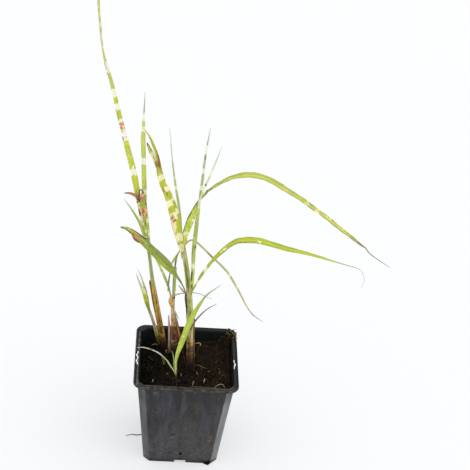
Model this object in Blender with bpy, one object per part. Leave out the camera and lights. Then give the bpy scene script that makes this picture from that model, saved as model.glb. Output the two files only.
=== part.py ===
"""A young zebra-banded miscanthus clump in a small square nursery pot, in metres, +Z up.

The origin is the middle of the foot pad under the pot, on the surface that it stands on.
+X is to the right and +Y to the back. Sizes and routes below are written in millimetres.
"""

import math

import bmesh
import bpy
import numpy as np

MM = 0.001
GAP = 0.3  # clearance between pieces that touch

# The pot: a square moulded tub that tapers to its foot.
POT_HEIGHT = 93.0
RIM_HALF = 45.0  # half of the 90 mm square over the rim
RIM_CORNER = 6.0
RIM_SHEET = 1.2
LIP_DROP = 2.3
LIP_SHEET = 1.0
WALL = 1.0
TOP_HALF = 41.6
FOOT_HALF = 32.0
TOP_CHAMFER = 6.2
FOOT_CHAMFER = 5.4
FLOOR_UNDER = 3.0
FLOOR_SHEET = 1.2
FOOT_SHEET = 1.4
NOTCH_WIDTH = 10.0
NOTCH_HEIGHT = 2.4
PAD_RADIUS = 8.0
DRAIN_RADIUS = 3.5
DRAIN_OFFSET = 19.0
SIDE_DRAIN_RADIUS = 1.4
SIDE_DRAIN_HEIGHT = 11.0
SLIT_WIDTH = 1.2
SLIT_SWING = 0.4
LEFT_SLIT_X = -42.8
RIGHT_SLIT_X = 42.5

# The compost and what stands in it.
SOIL_LEVEL = 82.0
SOIL_SLOPE = 0.045  # higher to the right
SOIL_SWELL = 1.1  # height of the lumps
PLANTED_TO = 74.0  # height of the shoots' lowest points, below the surface

BLADE_SHEET = 0.6  # a blade's thickness at its midrib
BLADE_FOLD = 0.22  # how far a blade's edges stand up, as a share of its half width
SHEATH_SHEET = 0.5
FRONT = np.array([0.0, -0.857, 0.515])  # the side that the blades' upper faces are turned from

BLACK_PLASTIC = (0.045, 0.046, 0.052, 1.0)
COMPOST = (0.020, 0.013, 0.009, 1.0)
ROOT_BROWN = (0.10, 0.070, 0.045, 1.0)
LIME = (0.42, 0.52, 0.06, 1.0)
OLIVE = (0.22, 0.25, 0.05, 1.0)
OCHRE = (0.30, 0.20, 0.04, 1.0)
DRY_BROWN = (0.22, 0.12, 0.06, 1.0)
STRAW = (0.62, 0.52, 0.34, 1.0)
GREY_TIP = (0.25, 0.22, 0.17, 1.0)


def clear_scene():
    for old in list(bpy.data.objects):
        bpy.data.objects.remove(old, do_unlink=True)


def principled(name, colour, roughness):
    """A material with the piece's own colour and roughness; none of these pieces is metal."""
    made = bpy.data.materials.new(name)
    made.use_nodes = True
    shader = made.node_tree.nodes["Principled BSDF"]
    shader.inputs["Base Color"].default_value = colour
    shader.inputs["Roughness"].default_value = roughness
    shader.inputs["Metallic"].default_value = 0.0
    return made


def add_piece(name, points, faces, colour, roughness=0.6):
    """One named object from points in millimetres, with its faces turned outwards."""
    mesh = bpy.data.meshes.new(name)
    mesh.from_pydata((np.asarray(points) * MM).tolist(), [], faces)
    shape = bmesh.new()
    shape.from_mesh(mesh)
    bmesh.ops.recalc_face_normals(shape, faces=shape.faces)
    shape.to_mesh(mesh)
    shape.free()
    mesh.shade_smooth()
    mesh.set_sharp_from_angle(angle=math.radians(35))
    piece = bpy.data.objects.new(name, mesh)
    piece.data.materials.append(principled(name, colour, roughness))
    bpy.context.scene.collection.objects.link(piece)
    return piece


def add_cutter(name, points, faces):
    """A guide for a Boolean, left out of the finished object."""
    cutter = add_piece(name, points, faces, BLACK_PLASTIC)
    cutter.hide_render = True
    cutter.display_type = "WIRE"
    return cutter


def boolean(piece, other, operation):
    change = piece.modifiers.new(other.name, "BOOLEAN")
    change.operation = operation
    change.solver = "EXACT"
    change.object = other


def stacked(rings, closed_ends=True):
    """Points and faces of equal rings joined one to the next, with a flat face over each end."""
    count = len(rings[0])
    points = np.concatenate(rings)
    faces = []
    for level in range(len(rings) - 1):
        for side in range(count):
            after = (side + 1) % count
            low, high = level * count, (level + 1) * count
            faces.append((low + side, low + after, high + after, high + side))
    if closed_ends:
        faces.append(tuple(range(count)))
        faces.append(tuple(range(len(points) - count, len(points))))
    return points, faces


# ---------------------------------------------------------------- the pot and its compost


def square_ring(half, corner, height, roundness=0.0, along=1):
    """A square loop with cut corners, or corners rounded by roundness, with points along each side."""
    points = []
    for quarter in range(4):
        turn = quarter * math.pi / 2
        for step in range(4):
            sweep = step / 3 * math.pi / 2
            arc = np.array([math.cos(sweep), math.sin(sweep)]) * corner - corner
            chord = np.array([-step / 3, -1 + step / 3]) * corner
            x, y = half + roundness * arc + (1 - roundness) * chord
            points.append((x, y, turn))
        for step in range(1, along):
            x = half - corner - 2 * (half - corner) * step / along
            points.append((x, half, turn))
    return np.array(
        [
            (x * math.cos(t) - y * math.sin(t), x * math.sin(t) + y * math.cos(t), height)
            for x, y, t in points
        ]
    )


def outer_half(height):
    """Half width of the tub's outside at a height."""
    return FOOT_HALF + (TOP_HALF - FOOT_HALF) * height / (POT_HEIGHT - RIM_SHEET)


def chamfer(height):
    """Width of the tub's cut corners at a height."""
    return FOOT_CHAMFER + (TOP_CHAMFER - FOOT_CHAMFER) * height / (POT_HEIGHT - RIM_SHEET)


def box(low, high):
    corners = [
        np.array([(low[0], low[1]), (high[0], low[1]), (high[0], high[1]), (low[0], high[1])])
        for _ in range(2)
    ]
    rings = [np.column_stack([c, np.full(4, z)]) for c, z in zip(corners, (low[2], high[2]))]
    return stacked(rings)


def drum(centre, radius, axis, reach, sides=14):
    """A closed cylinder from centre along axis (0, 1 or 2), reach long."""
    turns = np.arange(sides) * 2 * math.pi / sides
    flat = np.column_stack([np.cos(turns), np.sin(turns)]) * radius
    rings = []
    for end in (0.0, reach):
        ring = np.insert(flat, axis, end, axis=1)
        rings.append(ring + centre)
    return stacked(rings)


def wavy_slit(x, y_from, y_to, waves):
    """A closed snaking strip that runs along Y through the rim's sheet."""
    y = np.linspace(y_from, y_to, 6 * waves + 1)
    middle = x + SLIT_SWING * np.sin((y - y_from) / (y_to - y_from) * waves * 2 * math.pi)
    near = np.column_stack([middle - SLIT_WIDTH / 2, y])
    far = np.column_stack([middle + SLIT_WIDTH / 2, y])[::-1]
    outline = np.concatenate([near, far])
    under = POT_HEIGHT - RIM_SHEET - 0.5
    return stacked([np.column_stack([outline, np.full(len(outline), z)]) for z in (under, 95.0)])


def make_pot():
    top = POT_HEIGHT
    under_rim = top - RIM_SHEET
    lip_bottom = top - LIP_DROP
    rings = [
        square_ring(outer_half(0) - FOOT_SHEET, FOOT_CHAMFER - 0.8, FLOOR_UNDER),
        square_ring(outer_half(0) - FOOT_SHEET, FOOT_CHAMFER - 0.8, 0.0),
        square_ring(FOOT_HALF, FOOT_CHAMFER, 0.0),
        square_ring(TOP_HALF, TOP_CHAMFER, under_rim),
        square_ring(RIM_HALF - LIP_SHEET, RIM_CORNER - LIP_SHEET, under_rim, 1.0),
        square_ring(RIM_HALF - LIP_SHEET, RIM_CORNER - LIP_SHEET, lip_bottom, 1.0),
        square_ring(RIM_HALF, RIM_CORNER, lip_bottom, 1.0),
        square_ring(RIM_HALF, RIM_CORNER, top - 0.5, 1.0),
        square_ring(RIM_HALF - 0.5, RIM_CORNER - 0.4, top, 1.0),
        square_ring(TOP_HALF - WALL + 0.5, TOP_CHAMFER - 0.3, top, 0.4),
        square_ring(TOP_HALF - WALL, TOP_CHAMFER - 0.5, top - 0.7, 0.2),
        square_ring(
            outer_half(FLOOR_UNDER + FLOOR_SHEET) - WALL,
            FOOT_CHAMFER - 0.4,
            FLOOR_UNDER + FLOOR_SHEET,
        ),
    ]
    pot = add_piece("pot", *stacked(rings), BLACK_PLASTIC, 0.45)

    # Notches in the middle of each side leave four corner feet; water runs out under them.
    reach, half = 45.0, NOTCH_WIDTH / 2
    notches = {
        "notch_x": ((-reach, -half, -1.0), (reach, half, NOTCH_HEIGHT)),
        "notch_y": ((-half, -reach, -1.0), (half, reach, NOTCH_HEIGHT)),
    }
    for name, (low, high) in notches.items():
        boolean(pot, add_cutter(name, *box(low, high)), "DIFFERENCE")
    for name, x, y in (("a", -1, -1), ("b", 1, -1), ("c", 1, 1), ("d", -1, 1)):
        centre = (x * DRAIN_OFFSET, y * DRAIN_OFFSET, 1.0)
        hole = add_cutter("floor_drain_" + name, *drum(centre, DRAIN_RADIUS, 2, 6.0))
        boolean(pot, hole, "DIFFERENCE")
    front = (0.0, -outer_half(SIDE_DRAIN_HEIGHT) - 2.0, SIDE_DRAIN_HEIGHT)
    hole = add_cutter("front_drain", *drum(front, SIDE_DRAIN_RADIUS, 1, 4.0, sides=10))
    boolean(pot, hole, "DIFFERENCE")
    boolean(pot, add_cutter("left_slit", *wavy_slit(LEFT_SLIT_X, -13.5, 6.5, 3)), "DIFFERENCE")
    boolean(pot, add_cutter("right_slit", *wavy_slit(RIGHT_SLIT_X, -13.5, 0.5, 2)), "DIFFERENCE")
    pad = drum((0.0, 0.0, 0.0), PAD_RADIUS, 2, FLOOR_UNDER + 0.4, sides=20)
    boolean(pot, add_cutter("foot_pad", *pad), "UNION")
    return pot


def soil_height(x, y):
    """The lumpy surface: a slope up to the right, two waves of lumps and a heap in the back corner."""
    lumps = np.sin(0.31 * x + 0.9) * np.cos(0.27 * y - 0.4) + 0.6 * np.sin(0.52 * y + 0.23 * x)
    heap = 8.5 * np.exp(-((x - 37.0) ** 2 + (y - 36.0) ** 2) / 60.0)
    return SOIL_LEVEL + SOIL_SLOPE * x + SOIL_SWELL * lumps * 0.6 + heap


def make_soil(planted):
    """The root ball: it fills the tub below its surface and keeps a pocket round each shoot."""
    bottom = FLOOR_UNDER + FLOOR_SHEET + GAP
    rings = [
        square_ring(outer_half(bottom) - WALL - GAP - 0.1, chamfer(bottom) - 0.4, bottom, along=4)
    ]
    for share in (1.0, 0.86, 0.7, 0.52, 0.33, 0.15):
        level = SOIL_LEVEL
        ring = square_ring(outer_half(level) - WALL - GAP, chamfer(level) - 0.5, 0.0, along=4)
        ring[:, :2] *= share
        ring[:, 2] = soil_height(ring[:, 0], ring[:, 1])
        if share == 1.0:
            inner = outer_half(ring[:, 2]) - WALL - GAP - 0.1
            ring[:, :2] *= (inner / (outer_half(level) - WALL - GAP))[:, None]
        rings.append(ring)
    points, faces = stacked(rings)
    points = np.vstack([points, (0.0, 0.0, float(soil_height(0.0, 0.0)))])
    last = faces.pop()
    for here, after in zip(last, last[1:] + last[:1]):
        faces.append((here, after, len(points) - 1))
    soil = add_piece("soil", points, faces, COMPOST, 0.95)
    for index, (x, y, radius) in enumerate(planted):
        floor = PLANTED_TO - 0.9
        reach = float(soil_height(x, y)) + 5.0 - floor
        pocket = drum((x, y, floor), radius, 2, reach, sides=12)
        boolean(soil, add_cutter(f"pocket_{index}", *pocket), "DIFFERENCE")
    return soil


def make_root_clump():
    """Crumbs of compost bound by roots, heaped over the rim's back right corner."""
    centre = np.array([40.0, 38.0, POT_HEIGHT + GAP])
    reach = np.array([5.2, 6.6, 2.8])
    shape = bmesh.new()
    bmesh.ops.create_icosphere(shape, subdivisions=3, radius=1.0)
    points = np.array([v.co[:] for v in shape.verts])
    faces = [tuple(v.index for v in f.verts) for f in shape.faces]
    shape.free()
    swell = 1 + 0.13 * np.sin(5.1 * points[:, 0] + 3.7 * points[:, 1]) * np.cos(4.3 * points[:, 2])
    points = points * swell[:, None] * reach
    points[:, 2] = np.where(points[:, 2] < 0, points[:, 2] * 0.05, points[:, 2])
    points[:, 2] -= points[:, 2].min()
    return add_piece("root_clump", points + centre, faces, ROOT_BROWN, 0.95)


# ---------------------------------------------------------------- the shoots and their leaves


def smooth_route(route, count):
    """count points, evenly spaced, on the Catmull-Rom curve through the route's own points."""
    p = np.asarray(route, float)
    p = np.vstack([2 * p[0] - p[1], p, 2 * p[-1] - p[-2]])
    t = np.linspace(0, 1, 13)[:-1, None]
    pieces = []
    for a, b, c, d in zip(p[:-3], p[1:-2], p[2:-1], p[3:]):
        cubic = 2 * b + (c - a) * t + (2 * a - 5 * b + 4 * c - d) * t**2
        pieces.append(0.5 * (cubic + (3 * b - a - 3 * c + d) * t**3))
    line = np.vstack(pieces + [p[-2:-1]])
    length = np.concatenate([[0], np.cumsum(np.linalg.norm(np.diff(line, axis=0), axis=1))])
    even = np.linspace(0, length[-1], count)
    return np.column_stack([np.interp(even, length, line[:, k]) for k in range(3)])


def spread(values, count):
    """A short list of values, evenly placed along a piece, read at count places."""
    return np.interp(np.linspace(0, 1, count), np.linspace(0, 1, len(values)), values)


def across_and_face(line, turns):
    """For each point of a line: the direction across it and the direction that its face looks."""
    along = np.gradient(line, axis=0)
    along /= np.linalg.norm(along, axis=1)[:, None]
    face = FRONT - (along @ FRONT)[:, None] * along
    face /= np.linalg.norm(face, axis=1)[:, None]
    across = np.cross(along, face)
    c, s = np.cos(np.radians(turns))[:, None], np.sin(np.radians(turns))[:, None]
    return across * c + face * s, face * c - across * s


def stem(name, colour, route, half_widths, half_depths, count=14, sides=8):
    """A shoot's rolled sheaths as one oval stalk that follows its route."""
    line = smooth_route(route, count)
    across, face = across_and_face(line, np.zeros(count))
    wide, deep = spread(half_widths, count), spread(half_depths, count)
    rings = []
    for k in range(count):
        turn = np.arange(sides)[:, None] * 2 * math.pi / sides
        rings.append(
            line[k] + across[k] * wide[k] * np.cos(turn) + face[k] * deep[k] * np.sin(turn)
        )
    return add_piece(name, *stacked(rings), colour, 0.5)


def blade(name, colour, route, widths, turns=(0,), count=22, sheet=BLADE_SHEET):
    """A leaf blade: a shallow trough, thickest at its midrib, that narrows to its tip."""
    line = smooth_route(route, count)
    across, face = across_and_face(line, spread(turns, count))
    half = spread(widths, count) / 2
    rings = []
    for k in range(count):
        lift = face[k] * half[k] * BLADE_FOLD
        rib = face[k] * min(sheet, half[k]) / 2
        left, right = line[k] - across[k] * half[k] + lift, line[k] + across[k] * half[k] + lift
        rings.append(np.array([left, line[k] + rib, right, line[k] - rib]))
    points, faces = stacked(rings, closed_ends=False)
    last = len(points) - 4
    for start in (0, last):
        faces.append((start, start + 1, start + 3))
        faces.append((start + 1, start + 2, start + 3))
    return add_piece(name, points, faces, colour, 0.5)


def sheath(name, colour, route, radii, middle, half_spans, count=12, steps=4):
    """An old leaf base as a thin trough round part of a shoot, middle degrees round from its right."""
    line = smooth_route(route, count)
    across, face = across_and_face(line, np.zeros(count))
    radius, span = spread(radii, count), np.radians(spread(half_spans, count))
    sweep = np.linspace(-1, 1, steps + 1)
    rings = []
    for k in range(count):
        angle = (math.radians(middle) + sweep * span[k])[:, None]
        outward = across[k] * np.cos(angle) + face[k] * np.sin(angle)
        inside = line[k] + outward * radius[k]
        outside = line[k] + outward[::-1] * (radius[k] + SHEATH_SHEET)
        rings.append(np.concatenate([inside, outside]))
    points, faces = stacked(rings, closed_ends=False)
    size = 2 * (steps + 1)
    for start in (0, len(points) - size):
        for k in range(steps):
            a, b = start + k, start + size - 1 - k
            faces.append((a, a + 1, b - 1, b))
    return add_piece(name, points, faces, colour, 0.7)


def make_left_shoot():
    """The tallest shoot, at the back left: sheaths below, then a tall and an upright leaf."""
    route = [(-18.5, 27.5, 74), (-22, 26.5, 101), (-32, 25, 150), (-38, 24, 181), (-46.5, 22, 238.2)]
    stem(
        "left_stem",
        OCHRE,
        route,
        half_widths=[3.0, 2.9, 2.6, 2.6, 1.9, 1.5, 2.8, 3.6, 4.4],
        half_depths=[3.0, 2.9, 2.6, 2.4, 1.8, 1.4, 1.7, 1.9, 1.6],
        count=18,
    )
    sheath(
        "left_old_sheath",
        DRY_BROWN,
        [(-18.5, 27.5, 74), (-22, 26.5, 101), (-32, 25, 150)],
        radii=[3.4, 3.3, 3.1, 3.0, 2.8],
        middle=165,
        half_spans=[60, 55, 45, 30, 6],
    )
    blade(
        "left_tall_leaf",
        LIME,
        [
            (-49.5, 22, 238.3),
            (-54, 21, 264),
            (-62, 19, 294),
            (-67.5, 17, 317),
            (-74.5, 15, 345),
            (-79, 14, 361),
            (-82.5, 12, 381),
            (-85.5, 10, 411),
            (-86.5, 8, 446),
        ],
        widths=[6.2, 5.6, 4.7, 4.4, 4.3, 4.0, 3.4, 2.4, 1.6, 0.4],
        turns=[0, 0, -5, -10, 0, 25, 80, 130, 155, 170],
        count=34,
    )
    blade(
        "left_upright_leaf",
        LIME,
        [(-44, 23.8, 239.3), (-46, 26, 267), (-48.5, 30, 301), (-48, 34, 328)],
        widths=[4.2, 4.2, 3.8, 3.5, 2.0, 1.0, 0.4],
        turns=[8, 12, 15],
    )
    blade(
        "left_withered_tip",
        DRY_BROWN,
        [(-48.5, 20.2, 239), (-53.5, 17, 243.5), (-60.5, 14, 246.5)],
        widths=[2.2, 1.8, 1.6, 0.8],
        count=10,
    )
    blade(
        "left_slender_leaf",
        LIME,
        [(-45.6, 20.8, 207.5), (-50, 20, 219), (-56, 17, 231), (-61.5, 14, 240)],
        widths=[1.8, 1.6, 1.2, 0.5],
        count=12,
    )


def make_young_shoot():
    """A thin young shoot behind the left one, split into two short tips."""
    stem(
        "young_stem",
        OLIVE,
        [(-22.3, 35, 74.5), (-27.5, 34, 92), (-33, 33, 111), (-38.2, 32, 130)],
        half_widths=[2.0, 1.7, 1.4, 1.4, 1.7],
        half_depths=[2.0, 1.6, 1.3, 1.2, 1.2],
        count=10,
    )
    blade(
        "young_leaf_left",
        LIME,
        [(-39.7, 32, 130.5), (-43, 31, 141), (-46, 30, 150), (-48.5, 29, 160)],
        widths=[2.4, 1.9, 1.4, 0.5],
        count=12,
    )
    blade(
        "young_leaf_right",
        LIME,
        [(-37, 32.4, 131), (-40, 33, 141), (-43, 33, 150), (-45.5, 33, 159)],
        widths=[2.4, 1.9, 1.4, 0.5],
        count=12,
    )


def make_middle_shoot():
    """The middle shoot: green and thin above its collar, wrapped in brown old sheaths below it."""
    route = [(-10, 19.5, 74), (-12, 19, 107), (-14.5, 18.5, 129), (-14.5, 18, 146), (-15, 15, 176)]
    stem(
        "middle_stem",
        DRY_BROWN,
        route,
        half_widths=[3.2, 3.2, 3.0, 2.4, 1.5, 1.6, 1.5],
        half_depths=[3.2, 3.0, 2.7, 2.1, 1.3, 1.4, 1.2],
    )
    blade(
        "middle_old_sheath_right",
        DRY_BROWN,
        [(-11.5, 14.6, 132), (-8.5, 14.5, 118), (-5.5, 14, 108), (-3, 13, 94), (-2, 12, 78)],
        widths=[1.0, 2.4, 3.4, 4.0, 4.0],
        turns=[10],
        count=14,
    )
    blade(
        "middle_old_sheath_left",
        STRAW,
        [(-17.5, 15, 127), (-16.5, 15, 112), (-15.5, 14.5, 98), (-14.5, 14.5, 78)],
        widths=[0.8, 2.0, 2.4, 2.4],
        turns=[-20],
        count=12,
    )
    blade(
        "middle_thin_leaf",
        LIME,
        [(-17.2, 16.5, 146), (-19.5, 15, 155), (-22.5, 13, 164), (-31, 8, 187)],
        widths=[2.2, 2.4, 2.0, 0.5],
        count=14,
    )
    blade(
        "middle_dark_leaf",
        OLIVE,
        [(-15, 14.8, 176.6), (-14.8, 13.5, 183), (-14, 13, 189), (-11.5, 12, 196)],
        widths=[2.4, 2.2, 1.6, 0.5],
        count=12,
    )
    blade(
        "dead_thread_leaf",
        STRAW,
        [(-13, 15.5, 148), (-10, 3, 159), (-6.5, -7, 165), (-1.5, -12.5, 169), (18, -18, 170)],
        widths=[1.0, 1.0, 0.9, 0.5],
        count=16,
        sheet=0.4,
    )


def make_centre_shoot():
    """The main shoot: most of the banded and arching leaves leave from its top."""
    route = [(4.5, -4, 74), (1.5, -4.5, 115), (-1.5, -5, 157), (-5, -3.5, 184), (-9.2, -1.2, 203.8)]
    stem(
        "centre_stem",
        LIME,
        route,
        half_widths=[3.4, 3.2, 3.1, 3.0, 2.9, 2.3, 1.9, 2.1],
        half_depths=[3.4, 3.1, 2.9, 2.7, 2.5, 2.0, 1.8, 2.0],
        count=16,
    )
    sheath(
        "centre_old_sheath",
        DRY_BROWN,
        [(4.5, -4, 74), (1.5, -4.5, 115), (-1.5, -5, 157), (-2.6, -4.9, 165)],
        radii=[3.8, 3.6, 3.5, 3.4, 3.7],
        middle=185,
        half_spans=[62, 55, 40, 24, 6],
    )
    sheath(
        "centre_tan_sheath",
        STRAW,
        [(4.5, -4, 74), (1.5, -4.5, 115), (0, -4.8, 136)],
        radii=[3.8, 3.9, 3.9],
        middle=0,
        half_spans=[60, 42, 8],
        count=9,
    )
    banded = blade(
        "banded_leaf",
        LIME,
        [
            (-10.2, -3.2, 204.6),
            (-14.5, -5, 226),
            (-19.5, -6.5, 243),
            (-25, -8, 260),
            (-31.7, -10, 278),
            (-36, -13, 297),
            (-42, -16, 314),
            (-47.5, -18, 323),
        ],
        widths=[4.2, 5.8, 6.8, 6.4, 5.4, 4.4, 3.8, 2.4, 1.8, 0.5],
        turns=[0, -10, -15, -10, 0, 10],
        count=28,
    )
    strip = blade(
        "torn_strip",
        LIME,
        [(-32.5, -10.5, 281.5), (-37, -11.5, 289), (-40, -12.5, 297), (-43.5, -14, 306)],
        widths=[1.6, 1.8, 2.4, 0.5],
        count=10,
    )
    strip.hide_render = True
    strip.display_type = "WIRE"
    boolean(banded, strip, "UNION")
    blade(
        "slender_back_leaf",
        LIME,
        [(-10.7, 0.9, 204.4), (-15, 3.5, 239), (-20, 6, 264), (-23.5, 9, 284), (-27, 14, 308)],
        widths=[2.4, 2.6, 2.2, 1.8, 0.5],
        turns=[20, 35, 30],
    )
    blade(
        "upper_arching_leaf",
        LIME,
        [
            (-8.6, -1.2, 205),
            (-5.5, 4.5, 227),
            (-2.5, 7.5, 237),
            (2.5, 10, 248.5),
            (10, 11.5, 257.5),
            (25.5, 13, 268),
            (46.5, 15, 269.5),
            (70, 17, 258),
            (100.5, 20, 236.5),
            (132, 24, 211),
            (156, 27, 189),
            (170.5, 28, 179.5),
        ],
        widths=[3.6, 5.2, 5.4, 6.0, 6.2, 6.0, 5.2, 4.6, 3.6, 1.8, 0.9, 0.4],
        turns=[25, 45, 65, 45, 42, 42, 42, 40, 35, 30],
        count=40,
    )
    blade(
        "broad_leaf",
        LIME,
        [
            (-6, -7, 167),
            (-11, -9, 178),
            (-20, -12, 193),
            (-32, -14, 207),
            (-43, -14, 219),
            (-54, -12, 227),
            (-61, -10, 228.5),
        ],
        widths=[2.6, 3.6, 5.4, 7.6, 7.8, 6.0, 3.6, 1.0],
        turns=[-55, -45, -25, -20, -25, -30],
        count=26,
    )
    blade(
        "drooping_leaf",
        OLIVE,
        [
            (-7.2, 0.8, 204.6),
            (-7.2, 2.8, 208.2),
            (-4.5, 5, 210),
            (-0.5, 6.5, 208.5),
            (4, 8, 203.5),
            (13.5, 10, 193.5),
            (27.5, 13, 177.5),
            (42.5, 16, 151.5),
            (55, 18, 129.5),
            (65.5, 19, 122),
        ],
        widths=[1.6, 1.7, 1.8, 1.8, 1.6, 1.2, 0.6],
        turns=[0, 20, 30],
        count=28,
        sheet=0.5,
    )
    blade(
        "lower_arching_leaf",
        LIME,
        [
            (1, -10.6, 172.5),
            (8, -14, 192),
            (17, -18, 211),
            (30, -23, 229),
            (46, -28, 235),
            (69.5, -33, 232),
            (98, -38, 226.5),
            (122, -42, 223.5),
            (131, -43, 221),
            (135, -43, 214),
            (135.5, -43, 207.5),
        ],
        widths=[2.6, 3.4, 4.4, 5.4, 5.9, 5.6, 4.2, 2.6, 1.4, 0.9, 0.5],
        turns=[55, 48, 40, 35, 30, 25, 20],
        count=40,
    )
    blade(
        "short_brown_leaf",
        GREY_TIP,
        [(1, -8.3, 127), (4.5, -10.5, 140), (12.5, -13, 153.5), (21, -16, 162.5)],
        widths=[1.6, 1.7, 1.5, 0.7],
        count=12,
    )


def make_right_shoot():
    """A slim side shoot that leaves the main one at its collar and carries two thin leaves."""
    stem(
        "right_stem",
        LIME,
        [(-0.9, -9.3, 167.5), (-0.6, -8, 180), (-0.6, -5.5, 192), (-0.9, -3, 207), (0.6, 3.5, 245)],
        half_widths=[0.8, 1.3, 1.5, 1.6, 1.3, 1.0],
        half_depths=[0.7, 1.0, 1.2, 1.2, 1.0, 0.8],
        count=14,
    )
    blade(
        "right_leaf_back",
        OLIVE,
        [(0.6, 4.3, 245.5), (1.8, 8, 266), (3, 12, 288), (5.3, 18, 308)],
        widths=[2.0, 1.9, 1.6, 1.2, 0.5],
        turns=[10],
        count=16,
    )
    blade(
        "right_leaf_front",
        LIME,
        [(1.4, 2.5, 245.5), (5.5, 0, 264.5), (10.3, -4, 285), (15, -9, 306)],
        widths=[1.8, 1.9, 1.6, 1.2, 0.5],
        turns=[20],
        count=16,
    )


def make_front_shoot():
    """A seedling-sized shoot near the front wall: a bright leaf, a spike and a dry leaf."""
    blade(
        "front_leaf",
        LIME,
        [
            (-6.5, -27.5, 74),
            (-9, -28, 98),
            (-9.7, -29, 114),
            (-6, -30, 134),
            (-1, -31, 155.5),
            (6, -33, 174.5),
            (11.7, -35, 185),
            (21.3, -38, 196.5),
        ],
        widths=[1.6, 1.7, 1.9, 3.0, 4.9, 4.7, 4.0, 2.8, 1.2, 0.4],
        turns=[0, 0, 10, 15, 10],
        count=32,
        sheet=1.0,
    )
    blade(
        "front_spike",
        LIME,
        [(-11.3, -28.2, 105), (-11.9, -27.5, 112), (-13.8, -26, 118.5)],
        widths=[1.0, 1.2, 0.5],
        count=8,
    )
    blade(
        "front_dry_leaf",
        STRAW,
        [
            (-10.2, -27.2, 94.5),
            (-13, -20.5, 97),
            (-18, -13, 99),
            (-23.3, -7, 99.5),
            (-32, 1, 98.5),
            (-38.5, 6, 96),
            (-43.5, 8, 93.7),
        ],
        widths=[1.2, 1.4, 1.5, 1.4, 0.6],
        turns=[-30],
        count=20,
        sheet=0.5,
    )


# x, y and radius of the pocket that each planted piece stands in
PLANTED_PLACES = [
    (-19.0, 27.3, 4.9),
    (-23.4, 34.6, 4.3),
    (-10.4, 19.4, 4.4),
    (-2.1, 12.1, 2.7),
    (-14.7, 14.5, 1.9),
    (4.2, -4.0, 5.2),
    (-6.9, -27.6, 1.8),
]


def build():
    clear_scene()
    make_pot()
    make_soil(PLANTED_PLACES)
    make_root_clump()
    make_left_shoot()
    make_young_shoot()
    make_middle_shoot()
    make_centre_shoot()
    make_right_shoot()
    make_front_shoot()


build()
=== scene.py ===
"""The looks of a young zebra-banded miscanthus in a small square nursery pot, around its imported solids.

The frame is in metres, +Z up, with +X to the right and +Y to the back of the side that faces the camera.
Sizes and routes are written in millimetres and pass through MM once, where a mesh is made.
"""

import functools
import itertools
import math

import bpy
import numpy as np
from mathutils import Matrix


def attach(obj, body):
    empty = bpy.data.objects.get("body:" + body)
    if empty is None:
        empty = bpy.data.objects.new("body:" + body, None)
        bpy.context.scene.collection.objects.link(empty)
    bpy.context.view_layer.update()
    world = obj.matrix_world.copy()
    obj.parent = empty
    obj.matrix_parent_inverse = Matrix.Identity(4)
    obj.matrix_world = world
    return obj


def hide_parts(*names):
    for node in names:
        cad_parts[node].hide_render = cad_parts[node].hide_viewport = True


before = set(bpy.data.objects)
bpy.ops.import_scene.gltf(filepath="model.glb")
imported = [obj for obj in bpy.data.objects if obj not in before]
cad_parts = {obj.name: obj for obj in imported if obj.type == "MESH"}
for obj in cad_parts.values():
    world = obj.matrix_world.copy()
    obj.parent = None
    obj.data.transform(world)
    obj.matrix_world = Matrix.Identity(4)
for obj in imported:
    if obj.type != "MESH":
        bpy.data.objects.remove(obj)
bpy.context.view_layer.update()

# ---------------------------------------------------------------- the pot
# A thin square tub of black plastic, injection moulded in one piece. Its corners are cut flat, a level rim
# runs round the top, and a skirt with a notch in each side keeps the drained floor off the ground.

MM = 0.001
POT_HEIGHT = 93.0
RIM_HALF = 45.0
RIM_CUT = 5.4
RIM_SOFTNESS = 9.2
RIM_UNDER = 91.8
LIP_BOTTOM = 90.7
WALL = 1.0
TOP_HALF = 41.6
FOOT_HALF = 32.7
TOP_CUT = 6.2
FOOT_CUT = 5.4
CORNER_SOFTNESS = 1.4
FLOOR_UNDER = 3.0
FLOOR_TOP = 4.2
SKIRT_SHEET = 1.4
PAD_RADIUS = 8.0
WALL_BOW = 0.45  # how far the middle of each side is drawn in
SLIT_SWING = 0.6
SLIT_WIDTH = 1.3
DRUM_SIDES = 24
POT_SHARP = 35  # the angle in degrees over which an edge of the pot shows


def add_mesh(name, points, faces, material, uv=None, marks=None, sharp=40):
    """A mesh object from points in mm and arrays of faces, turned so that the faces look outwards.

    The volume under a face is the dot product of its first corner with the cross product of the next two
    edges, summed over its fan of triangles; a negative sum means that every face has to be reversed."""
    volume = sum(np.linalg.det(points[group][:, [0, k, k + 1]]).sum()
                 for group in faces for k in range(1, group.shape[1] - 1))
    if volume < 0:
        faces = [group[:, ::-1] for group in faces]
    loops = np.concatenate([group.ravel() for group in faces])
    sizes = np.concatenate([np.full(len(group), group.shape[1]) for group in faces])
    mesh = bpy.data.meshes.new(name)
    mesh.vertices.add(len(points))
    mesh.vertices.foreach_set("co", (points * MM).ravel())
    mesh.loops.add(len(loops))
    mesh.loops.foreach_set("vertex_index", loops)
    mesh.polygons.add(len(sizes))
    mesh.polygons.foreach_set("loop_start", np.concatenate([[0], np.cumsum(sizes)[:-1]]))
    mesh.update(calc_edges=True)
    if uv is not None:
        layer = mesh.uv_layers.new(name="lie")
        layer.data.foreach_set("uv", uv[loops].astype(np.float32).ravel())
    if marks is not None:
        attribute = mesh.attributes.new("marks", "FLOAT_COLOR", "POINT")
        attribute.data.foreach_set("color", marks.astype(np.float32).ravel())
    mesh.materials.append(material)
    mesh.shade_smooth()
    mesh.set_sharp_from_angle(angle=math.radians(sharp))
    piece = bpy.data.objects.new(name, mesh)
    bpy.context.scene.collection.objects.link(piece)
    return piece


def plant(piece, slot, *nodes):
    """The piece rides on the only body and stands for these solids, which are hidden; slot is not used."""
    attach(piece, "root")
    if nodes:
        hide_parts(*nodes)


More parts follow.
